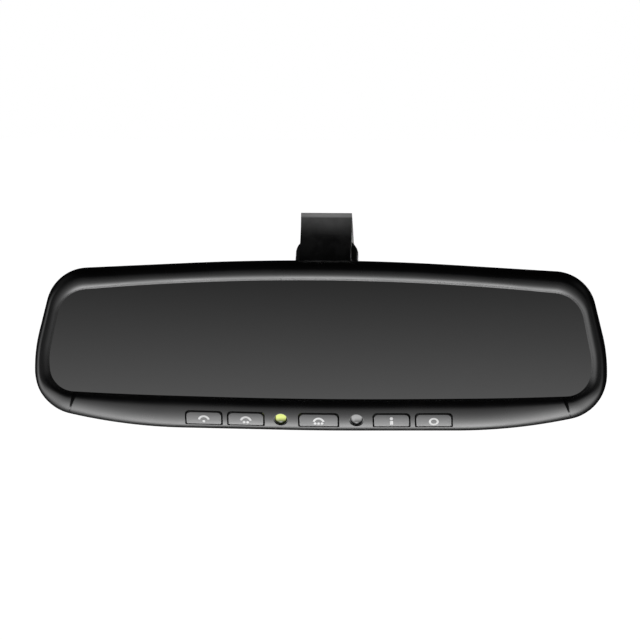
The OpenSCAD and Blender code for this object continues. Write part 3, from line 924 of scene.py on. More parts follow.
@dataclass(frozen=True)
class HeadForm:
    """The head's driving sizes and the surfaces that follow from them."""

    outline_half: tuple[Corner, ...] = (
        Corner(0, 39.4, 1150, 17), Corner(119, 33.1, 18.8, 10), Corner(128, -2.5, 70, 5),
        Corner(128.1, -28.2, 20.2, 10), Corner(87, -37.3, 250, 4), Corner(0, -38.3, 1500, 7))
    lip_half: tuple[Corner, ...] = (
        Corner(0, 33.4, 1126, 17), Corner(115, 23.7, 14, 10), Corner(121.2, -6, 30, 5),
        Corner(119.5, -20.9, 11, 10), Corner(87, -22.4, 1500, 4), Corner(0, -24, 2400, 7))
    fineness: int = 4
    run_piece: float = 3.2
    chin_piece: float = 1.2
    bezel_depth: float = 9.5
    lip_y: float = 2.2
    lip_roll: float = 2.6
    crest: float = 0.44
    crest_shift: float = 0.3
    chin_start: float = 0.15
    chin_blend: float = 0.7
    ledge_y: float = 2.7
    wall: float = 2.1
    lip_to_pocket: float = 2.0
    chin_flat: float = 4.5
    seam: float = 0.15
    depth_middle: float = 32.5
    depth_end: float = 17.0
    swell: float = 58.0
    spine_scale: float = 0.6
    spine_z: float = 3.0
    dome_power: float = 2.2

    def run_pieces(self) -> list[int]:
        """Gives the number of pieces of each straight run of the head's outlines.

        Returns:
            The numbers, in the order of the outline's corners.
        """
        ring = whole_ring(self.outline_half)
        return [max(self.fineness, math.ceil(math.hypot(a.x - b.x, a.z - b.z)
                                             / (self.run_piece if max(a.z, b.z) > 0 else self.chin_piece)))
                for a, b in zip(ring, ring[1:] + ring[:1])]

    def outline(self) -> list[Vector]:
        """Gives the head's outline at the parting line."""
        return rounded_loop(self.outline_half, self.fineness, self.run_pieces())

    def even_outline(self, half_count: int = 200) -> list[Vector]:
        """Gives the outline with evenly spaced points, as many above as below its two side points.

        Args:
            half_count: Points in each half.

        Returns:
            The points, in pairs that mirror each other from the list's two ends.
        """
        loop = self.outline()
        far = min(range(len(loop)), key=lambda i: (loop[i] - Vector((-loop[0].x, loop[0].y))).length)
        points: list[Vector] = []
        for run in (loop[:far + 1], loop[far:] + loop[:1]):
            marks = [0.0]
            for a, b in zip(run, run[1:]):
                marks.append(marks[-1] + (b - a).length)
            for k in range(half_count):
                at = marks[-1] * (k + 0.5) / half_count
                i = max(1, bisect_left(marks, at))
                points.append(run[i - 1].lerp(run[i], (at - marks[i - 1]) / (marks[i] - marks[i - 1])))
        return points

    def lip(self) -> list[Vector]:
        """Gives the inner edge of the bezel."""
        return rounded_loop(self.lip_half, self.fineness, self.run_pieces())

    def chin_shares(self) -> list[float]:
        """Gives how far each outline point belongs to the chin, from which way the outline runs there.

        Returns:
            A share for each point: 1 on the chin, 0 on the sides and the top.
        """
        shares, loop = [], self.outline()
        for before, after in zip(loop[-1:] + loop[:-1], loop[1:] + loop[:1]):
            right = (after - before).normalized().x
            t = max(0.0, min(1.0, (right - self.chin_start) / self.chin_blend))
            shares.append(t * t * (3 - 2 * t))
        return shares

    def front_depth(self, s: float, chin: float) -> float:
        """Gives the bezel's depth behind its crest.

        Args:
            s: The share of the way from the outline (0) to the lip (1).
            chin: 1 on the chin, 0 elsewhere.

        Returns:
            The depth in millimetres.
        """
        crest = self.crest + self.crest_shift * chin
        if s >= crest:
            return self.lip_y * ((s - crest) / (1 - crest)) ** self.lip_roll
        flat, k, u = self.chin_flat * chin, 2 + 3 * chin, 1 - s / crest
        return flat * u ** 1.5 + (self.bezel_depth - flat) * (1 - (1 - u ** k) ** (1 / k))

    def low_z(self, loop: Sequence[Vector], x: float) -> float:
        """Gives the height of a loop's lower run at x.

        Args:
            loop: The outline or the lip, from the right side over the top.
            x: Where to look.

        Returns:
            The height.
        """
        low = loop[len(loop) // 2:]
        for a, b in zip(low, low[1:]):
            if a.x <= x < b.x:
                return a.y + (b.y - a.y) * (x - a.x) / (b.x - a.x)
        raise ValueError(f"x = {x} is outside the loop")

    def chin_point(self, x: float, s: float, lift: float = 0.0) -> Vector:
        """Gives a point of the chin over x as (depth, height)."""
        low, high = self.low_z(self.outline(), x), self.low_z(self.lip(), x)
        return Vector((self.front_depth(s, 1.0) - lift, low + (high - low) * s))

    def dome_depth(self, x: float) -> float:
        """Gives the rear housing's full depth behind the parting line at x."""
        return self.depth_end + (self.depth_middle - self.depth_end) * math.exp(-((x / self.swell) ** 2))

    def dome(self, t: float) -> float:
        """Gives the share of the full depth at a share t of the way from the rim to the spine."""
        return (1 - (1 - t) ** self.dome_power) ** (1 / self.dome_power)


FORM = HeadForm()


@dataclass(frozen=True)
class ChinPlace:
    """A place on the chin's face, its own +Z into the head along the press direction."""

    x: float
    tilt: float = 30.0
    share: float = 0.35
    reach: float = 6.0

    def matrix(self) -> Matrix:
        """Gives the placement in the row frame, in millimetres.

        Returns:
            The placement, with +Z into the head.
        """
        middle = FORM.chin_point(self.x, self.share)
        rise = (FORM.chin_point(self.x + self.reach, self.share).y
                - FORM.chin_point(self.x - self.reach, self.share).y) / (2 * self.reach)
        return (at_head(self.x, middle.x, middle.y) @ Matrix.Rotation(-math.atan(rise), 4, "Y")
                @ Matrix.Rotation(math.radians(self.tilt - 90), 4, "X"))

    def in_face(self, point: Vector) -> Vector:
        """Turns a chin point (depth, height) into (down the face, into the head).

        Args:
            point: A chin point as (depth, height).

        Returns:
            The same point as (down the face, into the head).
        """
        d = point - FORM.chin_point(self.x, self.share)
        s, c = math.sin(math.radians(self.tilt)), math.cos(math.radians(self.tilt))
        return Vector((d.x * s - d.y * c, d.x * c + d.y * s))

    def surface(self, lift: float) -> Callable[[float], float]:
        """Gives a function from a place down the face to the surface's depth there.

        Args:
            lift: How far the surface stands proud of the chin, in millimetres.

        Returns:
            The function.
        """
        count = 160
        run = sorted((self.in_face(FORM.chin_point(self.x, k / count * 0.8, lift)) for k in range(1, count)),
                     key=lambda p: p.x)
        downs = [p.x for p in run]

        def depth(down: float) -> float:
            """Gives the surface's depth at one place.

            Args:
                down: The place, down the face.

            Returns:
                The depth, into the head.
            """
            k = max(1, min(len(run) - 1, bisect_left(downs, down)))
            a, b = run[k - 1], run[k]
            t = max(0.0, min(1.0, (down - a.x) / (b.x - a.x)))
            return a.y + (b.y - a.y) * t

        return depth


# ---------------------------------------------------------------- the head's shells


@dataclass
class FrontBezel:
    """The front bezel: an arched frame round the glass, with the chin's openings."""

    front_steps: int = 34
    rim_round: float = 0.25
    button_gap: float = 0.7
    window_through: float = 2.8
    window_recess: float = 3.15
    recess_depth: float = 0.55
    button_cut: tuple[float, float] = (-6.0, 14.0)
    window_cut: tuple[float, float] = (-5.0, 15.0)

    def rings(self) -> list[list[Vector]]:
        """Gives the rings of the closed section, outside first.

        Returns:
            The rings, each with a point for each outline point.
        """
        outline, lip, chin = FORM.outline(), FORM.lip(), FORM.chin_shares()
        band = [(b - a).length for a, b in zip(outline, lip)]

        def ring(share: Callable[[int], float], depth: Callable[[int], float]) -> list[Vector]:
            """Gives one ring from a share and a depth at each point.

            Args:
                share: The share of the way from outline to lip, for each point's number.
                depth: The depth, for each point's number.

            Returns:
                The ring's points.
            """
            points = []
            for i, (a, b) in enumerate(zip(outline, lip)):
                p = a.lerp(b, share(i))
                points.append(Vector((p.x, depth(i), p.y)))
            return points

        shares = [0.5 - 0.5 * math.cos(math.pi * k / self.front_steps) for k in range(self.front_steps + 1)]
        rings = [ring(lambda i: self.rim_round / band[i], lambda i: FORM.bezel_depth),
                 ring(lambda i: 0.0, lambda i: FORM.bezel_depth - self.rim_round)]
        for s in shares[1:]:
            rings.append(ring(lambda i, s=s: s, lambda i, s=s: min(FORM.front_depth(s, chin[i]),
                                                                  FORM.bezel_depth - self.rim_round - 0.02)))
        rings.append(ring(lambda i: 1.0, lambda i: FORM.ledge_y))
        rings.append(ring(lambda i: 1 - FORM.lip_to_pocket / band[i], lambda i: FORM.ledge_y))
        for s in (0.7, 0.55, 0.4, 0.27):
            rings.append(ring(lambda i, s=s: s, lambda i, s=s: max(
                FORM.ledge_y, FORM.front_depth(s, chin[i]) + FORM.wall)))
        for depth in (6.6, FORM.bezel_depth):
            rings.append(ring(lambda i: (FORM.wall - 0.1) / band[i], lambda i, d=depth: d))
        return rings

    def build(self, finish: bpy.types.Material, buttons: Sequence["ChinButton"],
              windows: Sequence[float]) -> None:
        """Builds the bezel and cuts the openings for its buttons and windows.

        Args:
            finish: The bezel's finish.
            buttons: The buttons that need openings.
            windows: Where the round windows stand, along X.
        """
        piece = finish_mesh(loft(self.rings(), True), "front_bezel_shell", at_head(), 40)
        tools = [b.prism("button_opening", self.button_gap, *self.button_cut) for b in buttons]
        for x in windows:
            place = ChinPlace(x).matrix()
            tools.append(rod("window_opening", self.window_through, *self.window_cut, place, SMALL_TURN))
            tools.append(rod("window_recess", self.window_recess, self.window_cut[0], self.recess_depth,
                             place, SMALL_TURN))
        combine(piece, tools, Cut.AWAY, 38)
        settle(piece, "head", "bezel_plastic", finish, ["front_bezel"])


@dataclass
class RearHousing:
    """The rear housing: a domed shell with openings for the stay, the harness and the forward sensor."""

    steps: int = 30
    aperture: float = 15.3
    connector: tuple[float, float, float, float] = (40.0, 3.0, 19.5, 11.5)
    sensor: tuple[float, float, float] = (-38.0, 3.0, 3.65)
    back_cut: tuple[float, float] = (20.0, 50.0)
    aperture_cut: tuple[float, float] = (0.0, 40.0)

    def rings(self) -> list[list[Vector]]:
        """Gives the shell's rings from the parting line to the spine.

        Returns:
            The rings, each with a point for each outline point.
        """
        outline = FORM.even_outline()
        base = FORM.bezel_depth + FORM.seam
        spine = [Vector(((p.x + twin.x) / 2 * FORM.spine_scale, FORM.spine_z))
                 for p, twin in zip(outline, outline[::-1])]
        rings = [[Vector((p.x, base, p.y)) for p in outline]]
        for k in range(1, self.steps + 1):
            t = 1 - math.cos(math.pi / 2 * k / self.steps)
            ring = []
            for i, p in enumerate(outline):
                q = p.lerp(spine[i], t)
                ring.append(Vector((q.x, base + FORM.dome_depth(q.x) * FORM.dome(t), q.y)))
            rings.append(ring)
        return rings

    def build(self, finish: bpy.types.Material) -> None:
        """Builds the housing.

        Args:
            finish: The housing's finish.
        """
        bm = loft(self.rings(), False)
        bmesh.ops.remove_doubles(bm, verts=bm.verts, dist=1e-3)
        piece = finish_mesh(bm, "rear_housing_shell", at_head(), 40)
        wall = piece.modifiers.new("wall", "SOLIDIFY")
        wall.thickness, wall.offset = FORM.wall * MM, -1
        apply_modifiers(piece, 40)
        x, z, wide, tall = self.connector
        near, far = self.back_cut
        sensor_x, sensor_z, sensor_radius = self.sensor
        tools = [rod("aperture", self.aperture, *self.aperture_cut, AT_LOWER_BALL, LARGE_TURN),
                 block("harness_opening", Vector((-wide / 2, near, -tall / 2)),
                       Vector((wide / 2, far, tall / 2)), at_head(x, 0, z)),
                 rod("sensor_opening", sensor_radius, near, far, towards_back(sensor_x, 0, sensor_z),
                     SMALL_TURN)]
        combine(piece, tools, Cut.AWAY, 38)
        settle(piece, "head", "housing_plastic", finish, ["rear_housing"])


# ---------------------------------------------------------------- buttons and windows

OUTER_BUTTON_X, INNER_BUTTON_X, WINDOW_X = 51.3, 32.5, 16.9
BUTTON_WIDTH, MIDDLE_BUTTON_WIDTH = 15.5, 17.0


class Mark(Enum):
    """What is printed on a button."""

    ONE = 1
    TWO = 2
    THREE = 3
    BAR = 4
    RING = 5


@dataclass
class ChinButton:
    """One push button on the chin, with its printed mark."""

    node: str
    x: float
    width: float
    mark: Mark
    height: float = 6.0
    top_corner: float = 1.9
    low_corner: float = 0.6
    proud: float = 0.3
    edge_round: float = 0.42
    print_height: float = 0.05
    print_root: float = 0.1
    skirt_front: float = -6.0
    skirt_back: float = 5.4
    cuts: int = 18

    def prism(self, name: str, grow: float, front: float, back: float) -> bpy.types.Object:
        """Makes the button's upright outline as a solid.

        Args:
            name: The object's name.
            grow: How much larger than the button, on each side.
            front: Where it starts, into the head.
            back: Where it ends.

        Returns:
            The solid.
        """
        return finish_mesh(self.prism_mesh(grow, front, back), name, ChinPlace(self.x).matrix(), 38)

    def prism_mesh(self, grow: float, front: float, back: float) -> bmesh.types.BMesh:
        """Makes the mesh of the button's outline between two depths.

        Args:
            grow: How much larger than the button, on each side.
            front: Where it starts, into the head.
            back: Where it ends.

        Returns:
            The mesh, in the button's own frame.
        """
        bm = bmesh.new()
        bmesh.ops.create_cube(bm, size=1)
        bmesh.ops.scale(bm, vec=(self.width + 2 * grow, self.height + 2 * grow, back - front), verts=bm.verts)
        bmesh.ops.translate(bm, vec=(0, 0, (front + back) / 2), verts=bm.verts)
        for low in (False, True):
            deep = [e for e in bm.edges
                    if abs(e.verts[0].co.z - e.verts[1].co.z) > 1 and (e.verts[0].co.y > 0) == low]
            bmesh.ops.bevel(bm, geom=deep, offset=self.low_corner if low else self.top_corner, segments=6,
                            profile=0.5, affect="EDGES", material=-1)
        return bm

    def build(self, finish: bpy.types.Material, ink: bpy.types.Material) -> None:
        """Builds the button's cap, shaped to the chin, and its mark.

        Args:
            finish: The cap's finish.
            ink: The mark's finish.
        """
        place = ChinPlace(self.x)
        surface = place.surface(self.proud)
        bm = self.prism_mesh(0.0, self.skirt_front, self.skirt_back)
        for k in range(1, self.cuts):
            y = self.height * (k / self.cuts - 0.5)
            bmesh.ops.bisect_plane(bm, geom=bm.verts[:] + bm.edges[:] + bm.faces[:], plane_co=(0, y, 0),
                                   plane_no=(0, 1, 0))
        for vert in bm.verts:
            if vert.co.z < (self.skirt_front + self.skirt_back) / 2:
                vert.co.z = surface(vert.co.y)
        bm.normal_update()
        rim = [e for e in bm.edges if len(e.link_faces) == 2
               and sorted(f.normal.z < -0.5 for f in e.link_faces) == [False, True]]
        bmesh.ops.bevel(bm, geom=rim, offset=self.edge_round, segments=4, profile=0.5, affect="EDGES",
                        material=-1, clamp_overlap=True)
        cap = finish_mesh(bm, self.node + "_cap", place.matrix(), 40)
        settle(cap, self.node, "button_plastic", finish, [self.node])
        self.build_mark(place, surface, ink)

    def build_mark(self, place: ChinPlace, surface: Callable[[float], float],
                   ink: bpy.types.Material) -> None:
        """Builds the button's printed mark, raised by the ink's own height.

        Args:
            place: The button's place on the chin.
            surface: The cap's depth at a place down the face.
            ink: The mark's finish.
        """
        bm = bmesh.new()
        if self.mark in (Mark.ONE, Mark.TWO, Mark.THREE):
            arc_band(bm, 2.25, 0.95, 195, 345, (0, 1.1))
            dots = self.mark.value
            for k in range(dots):
                dot(bm, 0.62, ((k - (dots - 1) / 2) * 1.55, 1.45))
        elif self.mark is Mark.BAR:
            dot(bm, 0.75, (0, -1.2))
            strip(bm, 0.68, (0, -0.1), (0, 2.0))
        else:
            arc_band(bm, 1.75, 0.95, 0, 360, (0, 0.4), flatten=0.86)
        bottom = bm.faces[:]
        made = bmesh.ops.extrude_face_region(bm, geom=bottom)["geom"]
        raised = {g for g in made if isinstance(g, bmesh.types.BMVert)}
        for vert in bm.verts:
            vert.co.z = surface(vert.co.y) + (-self.print_height if vert in raised else self.print_root)
        mark = finish_mesh(bm, self.node + "_mark", place.matrix(), 40)
        settle(mark, self.node, "button_plastic", ink)


def arc_band(bm: bmesh.types.BMesh, radius: float, width: float, start: float, end: float,
             centre: tuple[float, float], flatten: float = 1.0) -> None:
    """Adds a flat band along an arc to a mesh.

    Args:
        bm: The mesh.
        radius: The band's middle radius.
        width: Its width.
        start: Where it starts, in degrees.
        end: Where it ends.
        centre: The arc's centre.
        flatten: Scale of its height.
    """
    turn = math.radians(end - start)
    full = end - start >= 360
    a = bm.verts.new((radius - width / 2, 0, 0))
    b = bm.verts.new((radius + width / 2, 0, 0))
    edge = bm.edges.new((a, b))
    before = set(bm.verts) - {a, b}
    bmesh.ops.rotate(bm, verts=[a, b], cent=(0, 0, 0), matrix=Matrix.Rotation(math.radians(start), 3, "Z"))
    bmesh.ops.spin(bm, geom=[a, b, edge], cent=(0, 0, 0), axis=(0, 0, 1), angle=turn, steps=36,
                   use_merge=full)
    made = [v for v in bm.verts if v not in before]
    bmesh.ops.scale(bm, vec=(1, flatten, 1), verts=made)
    bmesh.ops.translate(bm, vec=(*centre, 0), verts=made)
    bmesh.ops.remove_doubles(bm, verts=made, dist=1e-4)


def dot(bm: bmesh.types.BMesh, radius: float, centre: tuple[float, float]) -> None:
    """Adds a flat round dot to a mesh."""
    bmesh.ops.create_circle(bm, cap_ends=True, cap_tris=False, segments=20, radius=radius,
                            matrix=Matrix.Translation((*centre, 0)))


def strip(bm: bmesh.types.BMesh, half_width: float, start: tuple[float, float],
          end: tuple[float, float]) -> None:
    """Adds a flat upright strip to a mesh.

    Args:
        bm: The mesh.
        half_width: Half the strip's width.
        start: The middle of its lower end.
        end: The middle of its upper end.
    """
    middle = ((start[0] + end[0]) / 2, (start[1] + end[1]) / 2, 0)
    made = bmesh.ops.create_grid(bm, x_segments=2, y_segments=8, size=0.5)["verts"]
    bmesh.ops.scale(bm, vec=(2 * half_width, end[1] - start[1], 1), verts=made)
    bmesh.ops.translate(bm, vec=middle, verts=made)


@dataclass
class WindowLens:
    """A domed lens in one of the chin's round windows."""

    node: str
    slot: str
    x: float
    radius: float = 2.35
    dome_top: float = -1.2
    length: float = 8.0

    def build(self, finish: bpy.types.Material) -> None:
        """Builds the lens.

        Args:
            finish: The lens's finish.
        """
        centre = self.dome_top + self.radius
        arc = [(self.radius * math.sin(a), centre - self.radius * math.cos(a))
               for a in (math.pi / 2 * k / 14 for k in range(15))]
        outline = arc + [(self.radius, self.length), (0, self.length)]
        piece = lathe(self.node + "_dome", outline, ChinPlace(self.x).matrix(), SMALL_TURN)
        settle(piece, "head", self.slot, finish, [self.node])


# ---------------------------------------------------------------- glass


@dataclass
class GlassPlate:
    """The front plate of the dimming cell, with its ground edge."""

    lap: float = 1.5
    thickness: float = 1.6
    ground: float = 0.3

    def build(self, finish: bpy.types.Material) -> None:
        """Builds the plate.

        Args:
            finish: The glass's finish.
        """
        front = FORM.ledge_y + 0.05
        outline, lip = FORM.outline(), FORM.lip()

        def ring(lap: float, y: float) -> list[Vector]:
            """Gives the plate's edge at a lap beyond the lip and a depth.

            Args:
                lap: How far the plate reaches beyond the lip.
                y: The depth.

            Returns:
                The edge's points.
            """
            points = []
            for a, b in zip(outline, lip):
                p = b.lerp(a, lap / (a - b).length)
                points.append(Vector((p.x, y, p.y)))
            return points

        rings = [ring(self.lap - self.ground, front), ring(self.lap, front + self.ground),
                 ring(self.lap, front + self.thickness - self.ground),
                 ring(self.lap - self.ground, front + self.thickness)]
        bm = loft(rings, False)
        for edges in (self.open_edges(bm, low=True), self.open_edges(bm, low=False)):
            bmesh.ops.edgeloop_fill(bm, edges=edges)
        piece = finish_mesh(bm, "front_glass_plate", at_head(), 20)
        settle(piece, "head", "dimming_glass", finish, ["front_glass"])

    @staticmethod
    def open_edges(bm: bmesh.types.BMesh, low: bool) -> list[bmesh.types.BMEdge]:
        """Gives the open edges at the front or at the back.

        Args:
            bm: The plate's mesh.
            low: Whether the front is wanted.

        Returns:
            The edges.
        """
        edges = [e for e in bm.edges if e.is_boundary]
        middle = sum(e.verts[0].co.y for e in edges) / len(edges)
        return [e for e in edges if (e.verts[0].co.y < middle) == low]


# ---------------------------------------------------------------- ball joints, stay and bracket


@dataclass
class BallShell:
    """A slotted spherical shell round a ball, with a mouth for the stay's neck."""

    node: str
    body: str
    slot: str
    place: Matrix
    inside: float
    outside: float
    slots: int
    slot_width: float
    mouth: float = 53.0

    def build(self, finish: bpy.types.Material) -> None:
        """Builds the shell.

        Args:
            finish: The shell's finish.
        """
        start, steps = math.radians(self.mouth), 30
        angles = [start + (math.pi - start) * k / steps for k in range(steps + 1)]
        outer = [(self.outside * math.sin(a), self.outside * math.cos(a)) for a in angles]
        inner = [(self.inside * math.sin(a), self.inside * math.cos(a)) for a in reversed(angles)]
        piece = lathe(self.node + "_shell", outer + inner + outer[:1], self.place, MIDDLE_TURN)
        tools = [block("slot", Vector((0, -self.slot_width / 2, -1)),
                       Vector((self.outside + 1, self.slot_width / 2, self.outside + 1)),
                       self.place @ Matrix.Rotation(math.tau * k / self.slots, 4, "Z"))
                 for k in range(self.slots)]
        combine(piece, tools, Cut.AWAY)
        settle(piece, self.body, self.slot, finish, [self.node])


@dataclass
class Stay:
    """The stay: two balls on a neck, and the cover over the neck."""

    ball_radius: float = 8.0
    neck_radius: float = 3.8
    fillet: float = 1.2
    cover_radius: float = 5.2
    cover_start: float = 15.2
    cover_back: float = 16.4
    ribs: int = 6
    rib_depth: float = 0.3

    def build(self, metal: bpy.types.Material, plastic: bpy.types.Material) -> None:
        """Builds the arm and its cover.

        Args:
            metal: The arm's finish.
            plastic: The cover's finish.
        """
        r, n = self.ball_radius, self.neck_radius
        meet = math.asin((n + 0.4) / r)
        low = [(r * math.sin(a), -r * math.cos(a))
               for a in ((math.pi - meet) * k / 40 for k in range(41))]
        neck = [(n, low[-1][1] + self.fillet), (n, STAY_LENGTH - low[-1][1] - self.fillet)]
        high = [(radius, STAY_LENGTH - z) for radius, z in reversed(low)]
        arm = lathe("stay_arm_balls", low + neck + high, AT_LOWER_BALL, MIDDLE_TURN, 50)
        settle(arm, "stay", "stay_metal", metal, ["stay_arm"])
        a, b, c = self.cover_start, STAY_LENGTH - self.cover_back, self.cover_radius
        outline = [(n + 0.05, a), (c - 0.7, a), (c - 0.2, a + 0.25), (c, a + 0.8)]
        for k in range(self.ribs):
            z, low_r = a + 1.6 + k * (b - a - 3.2) / (self.ribs - 1), c - self.rib_depth
            outline += [(c, z - 0.35), (low_r, z - 0.15), (low_r, z + 0.15), (c, z + 0.35)]
        outline += [(c, b - 0.8), (c - 0.2, b - 0.25), (c - 0.7, b), (n + 0.05, b), (n + 0.05, a)]
        cover = lathe("stay_cover_sleeve", outline, AT_LOWER_BALL, MIDDLE_TURN)
        settle(cover, "stay", "stay_cover_plastic", plastic, ["stay_cover"])


@dataclass
class Bracket:
    """The windshield bracket: a channelled plate, a neck and the upper ball's cup."""

    width: float = 23.5
    plate_front: float = 17.0
    plate_rear: float = 19.0
    plate: float = 7.6
    end_face: float = 1.4
    end_tilt: float = -6.0
    front_sweep: float = 14.4
    neck_foot: float = 24.0
    neck_half: float = 10.0
    neck_shift: float = 2.0
    neck_chamfer: float = 1.4
    rear_chamfer: float = 1.0
    cup_r: float = 14.5
    cup_mouth: float = 7.4
    cup_back: float = 11.6
    cup_round: float = 3.5
    cup_in: float = 10.8
    channel_width: float = 16.4
    channel_depth: float = 4.4
    channel_end: float = 9.4
    channel_lip: float = 1.3
    lip_low: float = 1.2
    lip_high: float = 2.2
    ring_step: float = 1.4
    ring_seat: float = 3.4
    screw_at: float = 15.4
    screw_r: float = 2.0
    rake: float = math.asin(-UPPER_BALL.y / BALL_DROP)

    def profile(self) -> list[tuple[float, float]]:
        """Gives the plate and neck from the side: (down the slope, out of the seat).

        Returns:
            The profile's points, from the tip round to the rear end of the seat.
        """
        s, c = math.sin(self.rake), math.cos(self.rake)
        tip = Vector((-self.plate_front * c, self.plate_front * s))
        tilt = math.radians(self.end_tilt)
        under = tip + self.end_face * Vector((math.sin(tilt), -math.cos(tilt)))
        turns = [self.rake * k / 20 for k in range(21)]
        hollow = [under + self.front_sweep * Vector((math.cos(t) - 1, -math.sin(t))) for t in turns]
        front = [(p.x * c - p.y * s, p.x * s + p.y * c) for p in (tip, *hollow)]
        foot, neck_front = -BALL_DROP + 5, self.neck_shift - self.neck_half
        return [*front, (front[-1][0], -self.neck_foot), (neck_front, -self.neck_foot),
                (neck_front, foot), (self.neck_half, foot),
                (self.neck_half, -self.plate - self.neck_chamfer),
                (self.neck_half + self.neck_chamfer, -self.plate),
                (self.plate_rear - self.rear_chamfer, -self.plate),
                (self.plate_rear, -self.plate + self.rear_chamfer), (self.plate_rear, 0)]

    def build(self, paint: bpy.types.Material, ring: bpy.types.Material,
              steel: bpy.types.Material) -> None:
        """Builds the bracket, its ring and its set screw.

        Args:
            paint: The bracket's finish.
            ring: The ring's finish.
            steel: The set screw's finish.
        """
        turn = Matrix.Rotation(math.radians(90), 4, "Z") @ Matrix.Rotation(math.radians(90), 4, "X")
        side = AT_SEAT @ turn @ Matrix.Translation((0, 0, -self.width / 2))
        piece = extrusion("windshield_bracket_body", self.profile(), self.width, side)
        cap = [(self.cup_r - self.cup_round + self.cup_round * math.cos(a),
                self.cup_back - self.cup_round + self.cup_round * math.sin(a))
               for a in (math.pi / 2 * k / 8 for k in range(9))]
        outline = [(0, -self.cup_mouth), (self.cup_r - 0.8, -self.cup_mouth),
                   (self.cup_r, -self.cup_mouth + 0.8), *cap, (0, self.cup_back)]
        cup = lathe("cup", outline, AT_CUP, LARGE_TURN)
        combine(piece, [cup], Cut.ADD)
        tools = [self.channel(), ball("bore_ball", self.cup_in, AT_CUP),
                 rod("bore", self.cup_in, -self.cup_mouth - 1, 0, AT_CUP, LARGE_TURN),
                 rod("ring_seat", self.cup_in + self.ring_step, -self.cup_mouth - 1,
                     -self.cup_mouth + self.ring_seat, AT_CUP, LARGE_TURN),
                 rod("screw_hole", self.screw_r, -self.plate - 1, -1,
                     AT_SEAT @ Matrix.Translation((0, self.screw_at, 0)), 32)]
        combine(piece, tools, Cut.AWAY)
        soften(piece, 0.35, 2, 42)
        settle(piece, "bracket", "bracket_metal", paint, ["windshield_bracket"])
        self.build_ring(ring)
        screw = cad_copy("bracket_set_screw")
        settle(screw, "bracket", "screw_steel", steel, ["bracket_set_screw"])

    def channel(self) -> bpy.types.Object:
        """Makes the undercut channel that slides over the wedge button.

        Returns:
            The tool that cuts it.
        """
        mouth, floor = self.channel_width / 2 - self.channel_lip, self.channel_width / 2
        start = self.plate_rear + 1
        outline = [(-mouth, -1), (mouth, -1), (mouth, self.lip_low), (floor, self.lip_high),
                   (floor, self.channel_depth), (-floor, self.channel_depth), (-floor, self.lip_high),
                   (-mouth, self.lip_low)]
        place = (AT_SEAT @ Matrix.Scale(-1, 4, (0, 0, 1)) @ Matrix.Translation((0, start, 0))
                 @ Matrix.Rotation(math.radians(90), 4, "X"))
        return extrusion("channel", outline, start + self.channel_end, place)

    def build_ring(self, ring: bpy.types.Material) -> None:
        """Builds the ring that closes the cup.

        Args:
            ring: The ring's finish.
        """
        start = math.radians(56)
        base, bore, rim = -self.cup_mouth + 3.3, self.cup_in - 0.05, self.cup_in + 1.35
        inner = [(self.cup_in * math.sin(a), -self.cup_in * math.cos(a))
                 for a in (start + (math.pi / 2 - 0.06 - start) * k / 20 for k in range(21))]
        foot = -self.cup_mouth - 0.5
        flare = math.tan(start) * -foot
        outline = [*inner, (bore, -0.45), (bore, base), (rim, base), (rim, foot + 0.3),
                   (self.cup_in + 1.05, foot), (flare, foot), inner[0]]
        piece = lathe("upper_socket_ring_body", outline, AT_CUP, LARGE_TURN)
        settle(piece, "bracket", "ring_plastic", ring, ["upper_socket_ring"])


# ---------------------------------------------------------------- studio


@dataclass(frozen=True)
class SoftPart:
    """A hard part kept in its CAD shape, with its sharp edges rounded."""

    node: str
    body: str
    slot: str
    width: float

    def build(self, finish: bpy.types.Material) -> None:
        """Builds the part.

        Args:
            finish: The part's finish.
        """
        piece = cad_copy(self.node)
        soften(piece, self.width)
        settle(piece, self.body, self.slot, finish, [self.node])


@dataclass(frozen=True)
class LightCard:
    """A small soft light: its place, aim and size about the head's middle, and its power in watts."""

    name: str
    place: tuple[float, float, float]
    aim: tuple[float, float, float]
    size: tuple[float, float]
    power: float
    spread: float = 180.0


REAR_CARD = LightCard("rear_card", (0, 320, -3), (0, 0, -3), (220, 66), 0.5)
MOUNT_CARD = LightCard("mount_card", (0, -8, 74), (0, 55, 58), (26, 10), 0.0018, 50.0)


